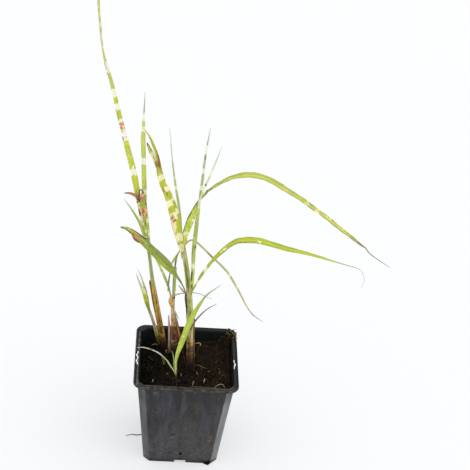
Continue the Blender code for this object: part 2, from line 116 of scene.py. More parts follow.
def ring_faces(rows, columns):
    """Faces between rows of closed rings: a square per step along and round, and a flat one over each end."""
    row, column = np.meshgrid(np.arange(rows - 1), np.arange(columns), indexing="ij")
    here, after = row * columns + column, row * columns + (column + 1) % columns
    quads = np.stack([here, after, after + columns, here + columns], axis=-1).reshape(-1, 4)
    first = np.arange(columns)[::-1][None]
    return [quads, np.concatenate([first, (rows - 1) * columns + first[:, ::-1]])]


def cut_square(half, cut, softness, along=14, arc=4):
    """A square loop with its corners cut flat and eased.

    Each corner is two arcs of 45 degrees and radius softness, one at each end of the cut; the other three
    corners are the same points turned by 90, 180 and 270 degrees."""
    middle, inset = half - cut - softness * math.tan(math.pi / 8), half - softness
    first = np.linspace(0, math.pi / 4, arc + 1)
    second = first + math.pi / 4
    share = np.linspace(1, -1, along + 1)[1:-1]
    loop = np.concatenate([
        np.column_stack([inset + softness * np.cos(first), middle + softness * np.sin(first)]),
        np.column_stack([middle + softness * np.cos(second), inset + softness * np.sin(second)]),
        np.column_stack([middle * share, np.full(along - 1, half)])])
    return np.concatenate([loop, loop[:, ::-1] * (-1, 1), -loop, loop[:, ::-1] * (1, -1)])


def lifted(flat, height):
    """A flat loop of points, all at one height."""
    return np.column_stack([flat, np.full(len(flat), height)])


def tub_half(height):
    """Half width of the tub's outside: a straight line from its foot to the rim."""
    return FOOT_HALF + (TOP_HALF - FOOT_HALF) * height / RIM_UNDER


def tub_cut(height):
    """Width of the flat across each corner, from foot to rim."""
    return FOOT_CUT + (TOP_CUT - FOOT_CUT) * height / RIM_UNDER


def pot_surface():
    """The closed skin, as a profile of (half width, cut, softness, height) carried round the cut square.

    It runs from the middle of the foot pad out under the floor, down and round the skirt, up the outside,
    over the rim and down the inside. The sides are drawn in by a sine over their width and height."""
    skirt, inner = FOOT_HALF - SKIRT_SHEET, TOP_HALF - WALL
    levels = [(skirt, FOOT_CUT - 0.8, 0.9, FLOOR_UNDER), (skirt, FOOT_CUT - 0.8, 0.9, 0.4)]
    levels += [(skirt + 0.3, FOOT_CUT - 0.6, 0.9, 0.0), (FOOT_HALF - 0.3, FOOT_CUT, 1.2, 0.0)]
    levels += [(tub_half(z), tub_cut(z), CORNER_SOFTNESS, z) for z in np.linspace(0.4, RIM_UNDER - 0.4, 26)]
    levels += [(TOP_HALF + 0.3, TOP_CUT, 1.6, RIM_UNDER)]
    under_rim = [(1.2, RIM_UNDER), (1, RIM_UNDER - 0.2), (1, LIP_BOTTOM + 0.2), (0.8, LIP_BOTTOM),
                 (0.25, LIP_BOTTOM), (0, LIP_BOTTOM + 0.25)]
    over_rim = [(0, 0.6), (0.15, 0.15), (0.45, 0), (0.8, 0.1), (1.1, 0.5), (1.9, 0.5), (2.2, 0.1)]
    levels += [(RIM_HALF - inset, RIM_CUT - 0.59 * inset, RIM_SOFTNESS - inset, z)
               for inset, z in under_rim + [(inset, POT_HEIGHT - drop) for inset, drop in over_rim]]
    levels += [(inner + 1.3, 3.6, 5.6, POT_HEIGHT), (inner + 0.5, 4.0, 5.0, POT_HEIGHT - 0.2),
               (inner, 4.8, 3.6, POT_HEIGHT - 0.9)]
    levels += [(tub_half(z) - WALL, tub_cut(z) - 0.4, 1.6, z) for z in np.linspace(90, FLOOR_TOP + 1, 14)]
    levels += [(tub_half(FLOOR_TOP) - WALL - 1, FOOT_CUT - 0.6, 1.2, FLOOR_TOP), (2.0, 0.5, 0.3, FLOOR_TOP)]
    spoke = cut_square(FOOT_HALF, FOOT_CUT, 1.2)
    spoke /= np.linalg.norm(spoke, axis=1)[:, None]
    pad = [(0.6, 0.0), (PAD_RADIUS - 0.3, 0.0), (PAD_RADIUS, 0.3), (PAD_RADIUS, FLOOR_UNDER)]
    grid = np.array([lifted(spoke * radius, height) for radius, height in pad]
                    + [lifted(cut_square(*shape), height) for *shape, height in levels])
    x, y, z = grid[..., 0], grid[..., 1], grid[..., 2]
    reach = np.maximum(np.abs(x), np.abs(y))
    across = np.where(np.abs(x) > np.abs(y), y, x) / np.maximum(reach, 1)
    body = np.clip((reach - 25) / 5, 0, 1) * np.sin(np.clip(z / RIM_UNDER, 0, 1) * math.pi) ** 0.7
    draw = WALL_BOW * body * np.cos(across * math.pi / 2) ** 2
    grid[..., :2] *= (1 - draw / np.maximum(reach, 1))[..., None]
    turn = np.arctan2(y, x)
    grid[..., 2] += np.clip((z - 88) / 4, 0, 1) * (0.16 * np.sin(2 * turn + 0.6) + 0.1 * np.sin(5 * turn))
    return grid


def box_cutter(low, high):
    """A box between two corners, as a lower and an upper ring of four points."""
    (x, y, z), (far_x, far_y, far_z) = low, high
    flat = np.array([[x, y], [far_x, y], [far_x, far_y], [x, far_y]], float)
    return np.concatenate([lifted(flat, z), lifted(flat, far_z)]), ring_faces(2, 4)


def drum_cutter(centre, radius, axis, reach):
    """A cylinder as two rings of points, reach apart along an axis (0, 1 or 2)."""
    turn = np.arange(DRUM_SIDES) / DRUM_SIDES * 2 * math.pi
    flat = np.column_stack([np.cos(turn), np.sin(turn)]) * radius
    rings = [np.insert(flat, axis, end, axis=1) + np.array(centre) for end in (0.0, reach)]
    return np.concatenate(rings), ring_faces(2, DRUM_SIDES)


def slit_cutter(x, y_from, y_to, waves):
    """A snaking strip through the rim: its middle line is a sine of so many waves, its ends are narrower."""
    share = np.linspace(0, 1, int(16 * abs(waves)) + 1)
    middle = x + SLIT_SWING * np.sin(share * waves * 2 * math.pi)
    half = SLIT_WIDTH / 2 * np.clip(np.minimum(share, 1 - share) * 14 + 0.35, 0, 1) ** 0.5
    y = y_from + (y_to - y_from) * share
    outline = np.concatenate([np.column_stack([middle - half, y]), np.column_stack([middle + half, y])[::-1]])
    rings = [lifted(outline, RIM_UNDER - 0.5), lifted(outline, POT_HEIGHT + 2)]
    return np.concatenate(rings), ring_faces(2, len(outline))


def carve(piece, cutters):
    """The piece less each cutter, by exact Booleans that are applied at once."""
    plastic = piece.data.materials[0]
    guides = [add_mesh(f"guide_{index}", *cutter, plastic) for index, cutter in enumerate(cutters)]
    for guide in guides:
        change = piece.modifiers.new(guide.name, "BOOLEAN")
        change.operation, change.solver, change.object = "DIFFERENCE", "EXACT", guide
    graph = bpy.context.evaluated_depsgraph_get()
    piece.data = bpy.data.meshes.new_from_object(piece.evaluated_get(graph))
    piece.modifiers.clear()
    for guide in guides:
        bpy.data.objects.remove(guide)
    piece.data.shade_smooth()
    piece.data.set_sharp_from_angle(angle=math.radians(POT_SHARP))


def paint(red, green, blue):
    """A colour given as it looks on a screen, 0 to 255, as linear light."""
    levels = np.array([red, green, blue]) / 255
    linear = np.where(levels <= 0.04045, levels / 12.92, ((levels + 0.055) / 1.055) ** 2.4)
    return (*(float(v) for v in linear), 1.0)


class Wire:
    """What a shader node gives out. Each sum or step below adds the node that does it in the shader."""

    def __init__(self, socket):
        self.socket = socket
        self.tree = socket.id_data

    def calc(self, operation, *values):
        """One step of reckoning, with numbers or wires."""
        made = node(self.tree, "ShaderNodeMath", dict(enumerate(values)), operation=operation)
        return Wire(made.outputs[0])

    def __add__(self, other):
        return self.calc("ADD", self, other)

    def __sub__(self, other):
        return self.calc("SUBTRACT", self, other)

    def __rsub__(self, other):
        return self.calc("SUBTRACT", other, self)

    def __mul__(self, other):
        return self.calc("MULTIPLY", self, other)

    def __abs__(self):
        return self.calc("ABSOLUTE", self)

    def below(self, limit):
        """1 where this is less than the limit, and 0 elsewhere."""
        return self.calc("LESS_THAN", self, limit)

    def larger(self, other):
        """The larger of the two, so that masks join."""
        return self.calc("MAXIMUM", self, other)

    def ease(self, low, high):
        """0 below low, 1 above high and a smooth step between them."""
        made = node(self.tree, "ShaderNodeMapRange", {"Value": self, "From Min": low, "From Max": high},
                    interpolation_type="SMOOTHSTEP")
        return Wire(made.outputs["Result"])

    def noise(self, scale, detail=3.0, roughness=0.55, stretch=(1, 1, 1)):
        """Noise at this place, each axis of which is first scaled by its own stretch."""
        place = node(self.tree, "ShaderNodeVectorMath", {0: self, 1: stretch}, operation="MULTIPLY")
        inputs = {"Vector": Wire(place.outputs[0]), "Scale": scale, "Detail": detail, "Roughness": roughness}
        return Wire(node(self.tree, "ShaderNodeTexNoise", inputs).outputs[0])

    def split(self, kind="XYZ"):
        """The three parts of a place (XYZ) or a colour (Color)."""
        return [Wire(part) for part in node(self.tree, "ShaderNodeSeparate" + kind, {0: self}).outputs]

    def bump(self, distance, strength):
        """The normal of a surface that has this height, times distance in metres."""
        inputs = {"Height": self, "Distance": distance, "Strength": strength}
        return Wire(node(self.tree, "ShaderNodeBump", inputs).outputs[0])


def connect(made, inputs):
    """Each input of a shader node is set to a value or linked from a wire."""
    for name, value in inputs.items():
        if isinstance(value, Wire):
            made.id_data.links.new(value.socket, made.inputs[name])
        else:
            made.inputs[name].default_value = value


def node(tree, kind, inputs=(), **settings):
    """A shader node with its settings and inputs."""
    made = tree.nodes.new(kind)
    for key, value in settings.items():
        setattr(made, key, value)
    connect(made, dict(inputs))
    return made


def layered(colour, *layers):
    """A colour under layers, each (share, colour over it). A colour is a wire, or red, green and blue."""
    for share, over in layers:
        under, over = (paint(*c) if isinstance(c, tuple) else c for c in (colour, over))
        made = node(share.tree, "ShaderNodeMix", {0: share, 6: under, 7: over}, data_type="RGBA")
        colour = Wire(made.outputs[2])
    return colour


def new_group(name, inputs, outputs):
    """An empty shader node group: its tree, the wires from its inputs by name, and its output node.

    Inputs are (name, kind, default) and outputs are (name, kind)."""
    tree = bpy.data.node_groups.new(name, "ShaderNodeTree")
    for socket, kind, value in inputs:
        made = tree.interface.new_socket(socket, in_out="INPUT", socket_type=f"NodeSocket{kind}")
        made.default_value = value
    for socket, kind in outputs:
        tree.interface.new_socket(socket, in_out="OUTPUT", socket_type=f"NodeSocket{kind}")
    given = {socket.name: Wire(socket) for socket in tree.nodes.new("NodeGroupInput").outputs if socket.name}
    return tree, given, tree.nodes.new("NodeGroupOutput")


def speckle_group():
    """Crumbs of dirt stuck to a surface: a cell pattern keeps only its smallest cells, broken up by noise."""
    tree, given, out = new_group("speckle", [("Place", "Vector", (0, 0, 0)), ("Scale", "Float", 400.0),
                                             ("Size", "Float", 0.2), ("Amount", "Float", 0.5)],
                                 [("Mask", "Float")])
    cells = node(tree, "ShaderNodeTexVoronoi", {"Vector": given["Place"], "Scale": given["Scale"]})
    near = 1.0 - Wire(cells.outputs["Distance"]).ease(0.0, given["Size"])
    kept = Wire(cells.outputs["Color"]).split("Color")[0].below(given["Amount"])
    connect(out, {"Mask": near * kept * given["Place"].noise(60.0).ease(0.42, 0.62)})
    return tree


def new_material(name):
    """A material and its Principled BSDF."""
    made = bpy.data.materials.new(name)
    made.use_nodes = True
    made.node_tree.nodes.clear()
    shader = made.node_tree.nodes.new("ShaderNodeBsdfPrincipled")
    node(made.node_tree, "ShaderNodeOutputMaterial", {0: Wire(shader.outputs[0])})
    return made, shader


def on_object(shader):
    """The place on the object, in metres."""
    return Wire(node(shader.id_data, "ShaderNodeTexCoord").outputs["Object"])


# marks on the front wall, as (x, z, radius) in mm: dark smears and dark blotches along the foot, pale chips
# and, in a short upright row near the right, a painted highlight on a drip, brown earth and its haze
DARK_SPOTS = [(-8.6, 50.2, 1.5), (-10, 48, 1.4), (-11.8, 45.6, 1.3), (9.6, 55.8, 1.4), (25.9, 72.2, 1.3),
              (27.3, 62.5, 1.2), (-8.6, 34.6, 2.0), (-6.6, 35.6, 1.2), (16.7, 28.4, 1.0), (-26, 2.5, 1.5),
              (-20, 2, 1.6), (12, 2, 1.5), (20, 2.4, 1.8), (27, 3.5, 1.6)]
PALE_SPOTS = [(-26.9, 84.6, 0.6), (-26.4, 83.6, 0.5), (-24.6, 84.8, 0.7), (-8.5, 31.1, 1.0),
              (-7.2, 31.5, 0.6), (2.5, 43.1, 0.6), (-17.3, 11.5, 0.6), (9.6, 9.4, 0.6), (-2, 86, 0.6),
              (8, 86.5, 0.7), (28.6, 82, 0.5), (28.4, 80, 0.5), (28.5, 78.4, 0.4)]
EARTH_SPOTS = [(24.6, 34, 1.5), (25.6, 32.2, 1.0), (24.2, 29, 1.7), (25.8, 30, 0.9), (23, 38.8, 0.8)]
HAZE_SPOTS = [(15, 36, 8.0), (11, 46, 6.0), (21, 44, 6.0), (24, 30, 6.0), (26, 8, 4.0), (7, 18, 7.0),
              (9, 60, 5.0), (10, 72, 5.0)]
SPECKLE = speckle_group()


def speckles(place, scale, size, amount):
    """The speckle pattern at a place, with so many cells to the metre."""
    inputs = {"Place": place, "Scale": scale, "Size": size, "Amount": amount}
    return Wire(node(place.tree, "ShaderNodeGroup", inputs, node_tree=SPECKLE).outputs[0])


def spotted(front, ragged, spots, soft=0.7):
    """The union of soft round spots on the front wall, their edges pushed in and out by ragged noise."""
    masks = []
    for x, z, radius in spots:
        places = {0: front, 1: (x * MM, 0, z * MM)}
        away = node(front.tree, "ShaderNodeVectorMath", places, operation="DISTANCE").outputs["Value"]
        edge = ragged * (-1.5 * radius * MM) + Wire(away)
        masks.append(1.0 - edge.ease(-soft * radius * MM, soft * radius * MM))
    return functools.reduce(Wire.larger, masks)


def pot_plastic():
    """Blue-black moulded plastic: satin, with flow streaks and paler corner flats, painted as sheen and
    lighter still on the right as painted light from that side.

    The rim is rubbed grey on its two ridges, partly dust and partly painted highlight, and painted black in
    its groove as painted shade; earth has dried on the front."""
    made, shader = new_material("pot_plastic")
    place = on_object(shader)
    x, y, z = place.split()
    reach = abs(x).larger(abs(y))
    streaks = place.noise(170, 4, 0.6, (1, 1, 0.12))
    clouds = place.noise(38, 4, 0.6)
    stains = place.noise(55, stretch=(1, 1, 0.5))
    grain = place.noise(900, 2)
    ragged = place.noise(620, 3, 0.6)
    drifting = place.noise(130, 4, 0.65, (1, 1, 0.6))

    # the walls: flow streaks, clouds and stains, a film of dust low down and a dirty foot
    film = (1.0 - z.ease(0.01, 0.062)) * place.noise(300, 4, 0.7).ease(0.36, 0.64)
    low = 1.0 - z.ease(0.0, 0.009)
    plain = layered((35, 35, 38), (streaks.ease(0.36, 0.68), (62, 62, 70)),
                    (clouds.ease(0.42, 0.68) * 0.5, (64, 62, 56)),
                    (stains.ease(0.55, 0.72) * 0.6, (30, 30, 32)), (film * 0.45, (90, 86, 85)),
                    (low * grain.ease(0.3, 0.7), (40, 34, 28)))

    # the corner flats lightened as painted sheen, the painted shadow under the lip and the marks on the front
    # wall
    flats_start = 2 * FOOT_HALF - FOOT_CUT
    flats_rise = (2 * TOP_HALF - TOP_CUT - flats_start) / RIM_UNDER
    corner = z * -flats_rise + (abs(x) + abs(y))
    under_rim = z.below(LIP_BOTTOM * MM)
    flats = corner.ease((flats_start - 0.9) * MM, (flats_start - 0.35) * MM) * under_rim
    # painted sheen on the corner flats, streaked; on the right the flats take a lighter grey, painted light
    # from that side
    flats_sheen = layered((70, 71, 72), (streaks.ease(0.3, 0.75), (98, 99, 99)))
    bright = layered((92, 93, 92), (streaks.ease(0.3, 0.7), (136, 138, 136)))
    flats_sheen = layered(flats_sheen, (x.ease(0.0, 0.01), bright))
    # painted shadow on the wall under the overhanging lip, broken by cloud noise
    lip_shadow = z.ease(0.0865, 0.0895) * under_rim * clouds.ease(0.3, 0.55)
    front_side = y.below(-0.02)
    front = Wire(node(place.tree, "ShaderNodeCombineXYZ", {0: x, 1: 0.0, 2: z}).outputs[0])
    top_zone = z.ease(0.066, 0.076) * drifting.ease(0.35, 0.6) * front_side
    haze = spotted(front, drifting, HAZE_SPOTS, 1.3) * front_side * drifting.ease(0.3, 0.6)
    stained = layered(plain, (flats * (grain * 0.3 + 0.7), flats_sheen), (lip_shadow * 0.8, (24, 20, 18)),
                      (top_zone * 0.55, (36, 36, 38)), (haze * 0.6, (66, 60, 50)),
                      (spotted(front, ragged, DARK_SPOTS) * front_side * 0.75, (22, 22, 24)),
                      (spotted(front, ragged, EARTH_SPOTS) * front_side * 0.7, (112, 84, 64)),
                      (spotted(front, ragged, PALE_SPOTS) * front_side * 0.65, (124, 120, 108)))

    # the rim with its ridges grey with dust and painted highlight and its groove darkened as painted shade,
    # painted shade over the inside, and dirt stuck all over
    rim = z.ease((RIM_UNDER - 1.0) * MM, RIM_UNDER * MM)
    front_rim = y.below(-(TOP_HALF - 1.2) * MM)
    # the rim's ridges turn grey, partly dust and partly painted highlight, strongest on the front and left
    # rims
    ridge_dust_and_highlight = rim * place.noise(260, 4, 0.7).ease(0.34, 0.66)
    dust_and_highlight_grey = layered((116, 114, 108), (front_rim, (88, 82, 74)))
    kept = front_rim.larger(1.0 - x.ease(-0.042, -0.03)) * 0.55 + 0.2
    # the groove between the ridges is painted near black as painted shade, less so on the front rim
    groove = reach.ease(0.0424, 0.0428) * (1.0 - reach.ease(0.0439, 0.0443))
    groove = rim * groove * (front_rim * -0.6 + 1.0)
    wall_slope, wall_top = (TOP_HALF - FOOT_HALF) / RIM_UNDER, (TOP_HALF - WALL * 0.5) * MM
    wall = (z - RIM_UNDER * MM) * wall_slope + wall_top
    # the inside of the tub, shelf and corner flats included, is darkened as painted shade
    inside_shade = reach.below(wall) * corner.below((flats_start - 0.9) * MM)
    dirt = speckles(place, 230.0, 0.22, 0.3)
    dust = speckles(place, 480.0, 0.3, 0.34)
    back_rim = rim * y.ease(0.033, 0.037)
    right_rim = rim * x.ease(0.0395, 0.0405) * (1.0 - front_rim)
    foot = 1.0 - (drifting * -0.008 + z).ease(-0.003, 0.001)
    colour = layered(stained, (rim, (30, 31, 31)), (ridge_dust_and_highlight * kept, dust_and_highlight_grey), (groove, (12, 12, 12)),
                     (inside_shade * 0.9, (14, 19, 17)), (dirt * 0.7, (86, 70, 54)), (dust * 0.75, (128, 123, 112)),
                     (back_rim * 0.85, (22, 25, 24)), (right_rim * 0.6, (20, 23, 22)),
                     (foot * 0.75, (34, 29, 24)))
    rough = clouds * 0.2 + 0.42 + (dirt + dust) * 0.35
    relief = grain * 0.3 + (dirt + streaks)
    connect(shader, {"Base Color": colour, "Roughness": rough, "Specular IOR Level": 0.22,
                     "Normal": relief.bump(0.00012, 0.5)})
    return made


NOTCH_HALF = 5.0
NOTCH_HEIGHT = 2.9
NOTCH_REACH = 6.0
DRAIN_OFFSET = 19.0
DRAIN_RADIUS = 3.5
WALL_HOLE_HEIGHT = 11.0
WALL_HOLE_RADIUS = 1.4
tub = pot_surface()
pot = add_mesh("nursery_pot", tub.reshape(-1, 3), ring_faces(*tub.shape[:2]), pot_plastic())
cutters = []
for side in (-1, 1):
    near, far = sorted((side * (FOOT_HALF - NOTCH_REACH), side * (FOOT_HALF + NOTCH_REACH)))
    cutters.append(box_cutter((near, -NOTCH_HALF, -1), (far, NOTCH_HALF, NOTCH_HEIGHT)))
    cutters.append(box_cutter((-NOTCH_HALF, near, -1), (NOTCH_HALF, far, NOTCH_HEIGHT)))
    for other in (-1, 1):
        cutters.append(drum_cutter((side * DRAIN_OFFSET, other * DRAIN_OFFSET, 1.0), DRAIN_RADIUS, 2, 6.0))
hole_place = (0.0, -tub_half(WALL_HOLE_HEIGHT) - 2, WALL_HOLE_HEIGHT)
cutters.append(drum_cutter(hole_place, WALL_HOLE_RADIUS, 1, 5.0))
cutters.append(slit_cutter(-42.8, -13.5, 6.5, 2.5))
cutters.append(slit_cutter(42.0, -13.5, 0.5, -1.5))
carve(pot, cutters)
plant(pot, "black_plastic", "pot")

# ---------------------------------------------------------------- loose bits round the foot
# Handling left crumbs of wet compost stuck under the foot, and one thin dead root trails out of the left
# notch on to the table.

GROUND = 0.05  # no crumb goes lower than this


def smooth_route(route, count):
    """count points, evenly spaced, on the Catmull-Rom curve through the route's own points."""
    p = np.asarray(route, float)
    p = np.vstack([2 * p[0] - p[1], p, 2 * p[-1] - p[-2]])
    t = np.linspace(0, 1, 13)[:-1, None]
    a, b, c, d = (p[k:len(p) - 3 + k, None] for k in range(4))
    cubic = 2 * b + (c - a) * t + (2 * a - 5 * b + 4 * c - d) * t**2 + (3 * b - a - 3 * c + d) * t**3
    line = np.vstack([(0.5 * cubic).reshape(-1, 3), p[-2:-1]])
    length = np.concatenate([[0], np.cumsum(np.linalg.norm(np.diff(line, axis=0), axis=1))])
    even = np.linspace(0, length[-1], count)
    return np.column_stack([np.interp(even, length, line[:, k]) for k in range(3)])


def add_threads(name, lines, radii, sides, tones):
    """Threads with (number, steps, 3) middle lines and a tone each: a ring of sides goes along each line.

    The ring's two directions are the cross product of the line's direction with a slanted fixed one, and the
    cross product of that with the line's direction."""
    number, steps = lines.shape[:2]
    along = np.gradient(lines, axis=1)
    along /= np.linalg.norm(along, axis=2, keepdims=True) + 1e-9
    first = np.cross(along, (0.31, 0.22, 0.93))
    first /= np.linalg.norm(first, axis=2, keepdims=True) + 1e-9
    second = np.cross(along, first)
    turn = np.arange(sides) / sides * 2 * math.pi
    round_it = first[:, :, None] * np.cos(turn)[:, None] + second[:, :, None] * np.sin(turn)[:, None]
    points = lines[:, :, None] + round_it * radii[:, :, None, None]
    faces = [np.concatenate([group + k * steps * sides for k in range(number)])
             for group in ring_faces(steps, sides)]
    marks = np.repeat(tones, steps * sides, axis=0)
    return add_mesh(name, points.reshape(-1, 3), faces, FIBRE, marks=marks)


def lump_shape():
    """A round lump of 18 points and 32 faces: the octahedron with each side split in four, on a unit ball."""
    corners = []
    for x, y, z in itertools.product((-1.0, 1.0), repeat=3):
        a, b, c = np.array([x, 0, 0]), np.array([0, y, 0]), np.array([0, 0, z])
        ab, bc, ca = (a + b) / 2**0.5, (b + c) / 2**0.5, (c + a) / 2**0.5
        cells = [(a, ab, ca), (ab, b, bc), (ca, bc, c), (ab, bc, ca)]
        corners += [cell if x * y * z > 0 else cell[::-1] for cell in cells]
    points, index = np.unique(np.array(corners).reshape(-1, 3).round(6), axis=0, return_inverse=True)
    return points, index.reshape(-1, 3)


def add_crumbs(name, centres, radii, seed, tones, sharp=50):
    """A crumb of one tone at each centre: the round lump, its points pushed in or out, squashed and turned.

    The turns come from random unit quaternions."""
    rng = np.random.default_rng(seed)
    points, faces = lump_shape()
    number = len(centres)
    shape = points * rng.uniform(0.62, 1.25, (number, len(points), 1)) * rng.uniform(0.5, 1.1, (number, 1, 3))
    turn = rng.normal(size=(4, number))
    w, x, y, z = turn / np.linalg.norm(turn, axis=0)
    turns = np.array([[1 - 2 * (y * y + z * z), 2 * (x * y - z * w), 2 * (x * z + y * w)],
                      [2 * (x * y + z * w), 1 - 2 * (x * x + z * z), 2 * (y * z - x * w)],
                      [2 * (x * z - y * w), 2 * (y * z + x * w), 1 - 2 * (x * x + y * y)]])
    shape = np.einsum("npk,jkn->npj", shape, turns) * np.asarray(radii)[:, None, None]
    shape = (shape + np.asarray(centres)[:, None]).reshape(-1, 3)
    shape[:, 2] = np.maximum(shape[:, 2], GROUND)
    index = faces[None] + (np.arange(number) * len(points))[:, None, None]
    marks = np.repeat(tones, len(points), axis=0)
    return add_mesh(name, shape, [index.reshape(-1, 3)], COMPOST, marks=marks, sharp=sharp)


def crumb_material(name, darkest, brown, red, pale):
    """Peat: near black and damp, browner or redder from crumb to crumb, with fine grit.

    The point colour, or tone, says how brown, how red and how pale each crumb is."""
    made, shader = new_material(name)
    place = on_object(shader)
    tones = Wire(node(place.tree, "ShaderNodeAttribute", attribute_name="marks").outputs["Color"])
    brownness, redness, paleness = tones.split("Color")
    grit = place.noise(1500, 3, 0.7)
    colour = layered(darkest, (brownness * grit.ease(0.4, 0.68), brown),
                     (redness * grit.ease(0.42, 0.66), red), (paleness, pale))
    connect(shader, {"Base Color": colour, "Roughness": 0.98 - place.noise(90, 2).ease(0.5, 0.75) * 0.35,
                     "Specular IOR Level": 0.12, "Normal": grit.bump(0.0004, 0.8)})
    return made


COMPOST = crumb_material("damp_compost", (7, 6, 3), (50, 38, 24), (60, 37, 25), (150, 134, 106))
FIBRE = crumb_material("compost_fibre", (30, 21, 13), (84, 62, 38), (88, 52, 32), (190, 172, 136))
CLOD_SPOTS = [(24.4, -34.2, 1.3), (22.4, -33.6, 1.0), (26.2, -33.4, 1.2), (20, -32.2, 1.6),
              (28.6, -30.8, 3.0), (25.5, -32.4, 3.2), (17.6, -32, 0.9), (7.4, -31.8, 1.2), (5.6, -31.6, 2.4),
              (-21.4, -32, 1.2), (-19, -32.2, 0.9), (-23.8, -31.8, 1.1), (-0.8, -32.9, 4.3),
              (1.4, -32.8, 4.0), (-2.8, -32.8, 4.0), (-4.2, -32.6, 3.4), (-16.5, -32, 0.8),
              (27.6, -31.6, 1.0)]
CLOD_SIZES = [1.9, 1.5, 1.6, 1.4, 1.6, 1.3, 1.0, 1.3, 1.2, 1.3, 1.0, 1.0, 1.2, 1.0, 1.0, 0.9, 0.9, 1.4]
clod_tones = np.tile((0.25, 0.05, 0.0, 1.0), (len(CLOD_SPOTS), 1))
plant(add_crumbs("foot_crumbs", CLOD_SPOTS, CLOD_SIZES, 3, clod_tones, sharp=60), "compost")

TRAIL = [(-29, 2, 1.7), (-34, 1.2, 1.2), (-39, 0.4, 0.7), (-44.8, 0.9, 0.6), (-47.5, -0.6, 0.7),
         (-49.6, -0.7, 0.5)]
TRAIL_STEPS = 30
line = smooth_route(TRAIL, TRAIL_STEPS)
radii = np.interp(np.linspace(0, 1, TRAIL_STEPS), [0, 0.6, 1], [0.45, 0.4, 0.2])
trail = add_threads("trailing_root", line[None], radii[None], 7, np.array([[0.2, 0.0, 0.0, 1.0]]))
plant(trail, "root_crumbs")

# ---------------------------------------------------------------- the compost
# Dark potting compost, pressed in to about a centimetre under the rim. Its surface is lumpy and loose, and it
# is heaped into the back right corner: crumbs, bark, fibres and a few pale seeds and rootlets lie on it.

SOIL_LEVEL = 82.0
SOIL_SLOPE = 0.045
SOIL_SWELL = 0.66
WALL_GAP = 0.35
CRUMB_COUNT = 3200
FIBRE_COUNT = 330
FIBRE_STEPS = 7
BIT_STEPS = 14
CELLS = 128  # after so many cells the noise repeats


def value_noise(x, y, cell, seed):
    """Random heights, 0 to 1, on a square lattice of this cell, joined by smooth steps."""
    table = np.random.default_rng(seed).random((CELLS, CELLS))
    u, v = x / cell + 60, y / cell + 60
    i, j = np.floor(u).astype(int), np.floor(v).astype(int)
    p, q = u - i, v - j
    p, q = p * p * (3 - 2 * p), q * q * (3 - 2 * q)
    next_i, next_j = (i + 1) % CELLS, (j + 1) % CELLS
    i, j = i % CELLS, j % CELLS
    near = table[i, j] * (1 - p) + table[next_i, j] * p
    far = table[i, next_j] * (1 - p) + table[next_i, next_j] * p
    return near * (1 - q) + far * q


def soil_height(x, y):
    """The level of the surface: a slope up to the right, two waves, a heap in the back corner and lumps."""
    waves = np.sin(0.31 * x + 0.9) * np.cos(0.27 * y - 0.4) + 0.6 * np.sin(0.52 * y + 0.23 * x)
    heap = 8.5 * np.exp(-((x - 37) ** 2 + (y - 36) ** 2) / 60)
    lumps = sum(size * (value_noise(x, y, cell, seed) - 0.5)
                for size, cell, seed in ((2.8, 5.5, 1), (1.9, 2.6, 2), (0.6, 1.0, 4)))
    return SOIL_LEVEL + SOIL_SLOPE * x + SOIL_SWELL * waves + heap + lumps


def soil_loop(height, spare=0.0):
    """The inside of the tub at a height, less a small gap."""
    half = tub_half(height) - WALL - WALL_GAP - spare
    return cut_square(half, tub_cut(height) - 0.6, 1.2, along=52, arc=3)


def soil_skin():
    """Square loops: out over the floor, up the wall, then in over the surface, shrinking to a point."""
    foot = FLOOR_TOP + 0.3
    levels = [(0.02, foot), (0.5, foot), (0.97, foot), (1, 6), (1, 30), (1, 55), (1, 72), (1, 78)]
    loops = [lifted(soil_loop(height) * share, height) for share, height in levels]
    top = soil_loop(SOIL_LEVEL, 0.2)
    for share in np.concatenate([[1.0, 0.995], np.linspace(0.985, 0.01, 66)]):
        x, y = (top * share).T
        edge = np.clip((share - 0.985) / 0.015, 0, 1)
        loops.append(np.column_stack([x, y, soil_height(x, y) - 0.8 * edge]))
    return np.array(loops)


def soil_marks(x, y, seed):
    """How brown, red and pale the compost is at each place: redder to the right, darker to the left."""
    brown = np.clip(0.12 + value_noise(x, y, 7.0, seed) + 0.016 * x, 0, 1)
    red = np.clip(0.9 * value_noise(x, y, 5.0, seed + 1) - 0.35 + 0.014 * x, 0, 1)
    return np.stack([brown, red, np.zeros_like(x), np.ones_like(x)], axis=-1)


def random_tones(number, brown, red, pale, sway, palest):
    """A random tone for each of a number of bits: up to so brown and red, and mostly not pale."""
    return np.column_stack([rng.uniform(*brown, number), rng.uniform(0, red, number),
                            np.clip(rng.normal(pale, sway, number), 0, palest), np.ones(number)])


def add_bits(name, bits, brown, red):
    """Single roots, seeds and straws that thin towards both ends, each (route, thickness, paleness)."""
    lines = np.array([smooth_route(route, BIT_STEPS) for route, _, _ in bits])
    taper = np.sin(np.linspace(0.12, 0.93, BIT_STEPS) * math.pi) ** 0.5
    radii = np.array([thickness for _, thickness, _ in bits])[:, None] * taper
    tones = np.array([(brown, red, paleness, 1) for _, _, paleness in bits])
    return add_threads(name, lines, radii, 6, tones)


loops = soil_skin()
marks = soil_marks(*loops[..., :2].reshape(-1, 2).T, 11)
faces = ring_faces(*loops.shape[:2])
body = add_mesh("compost_body", loops.reshape(-1, 3), faces, COMPOST, marks=marks, sharp=180)
plant(body, "compost", "soil")

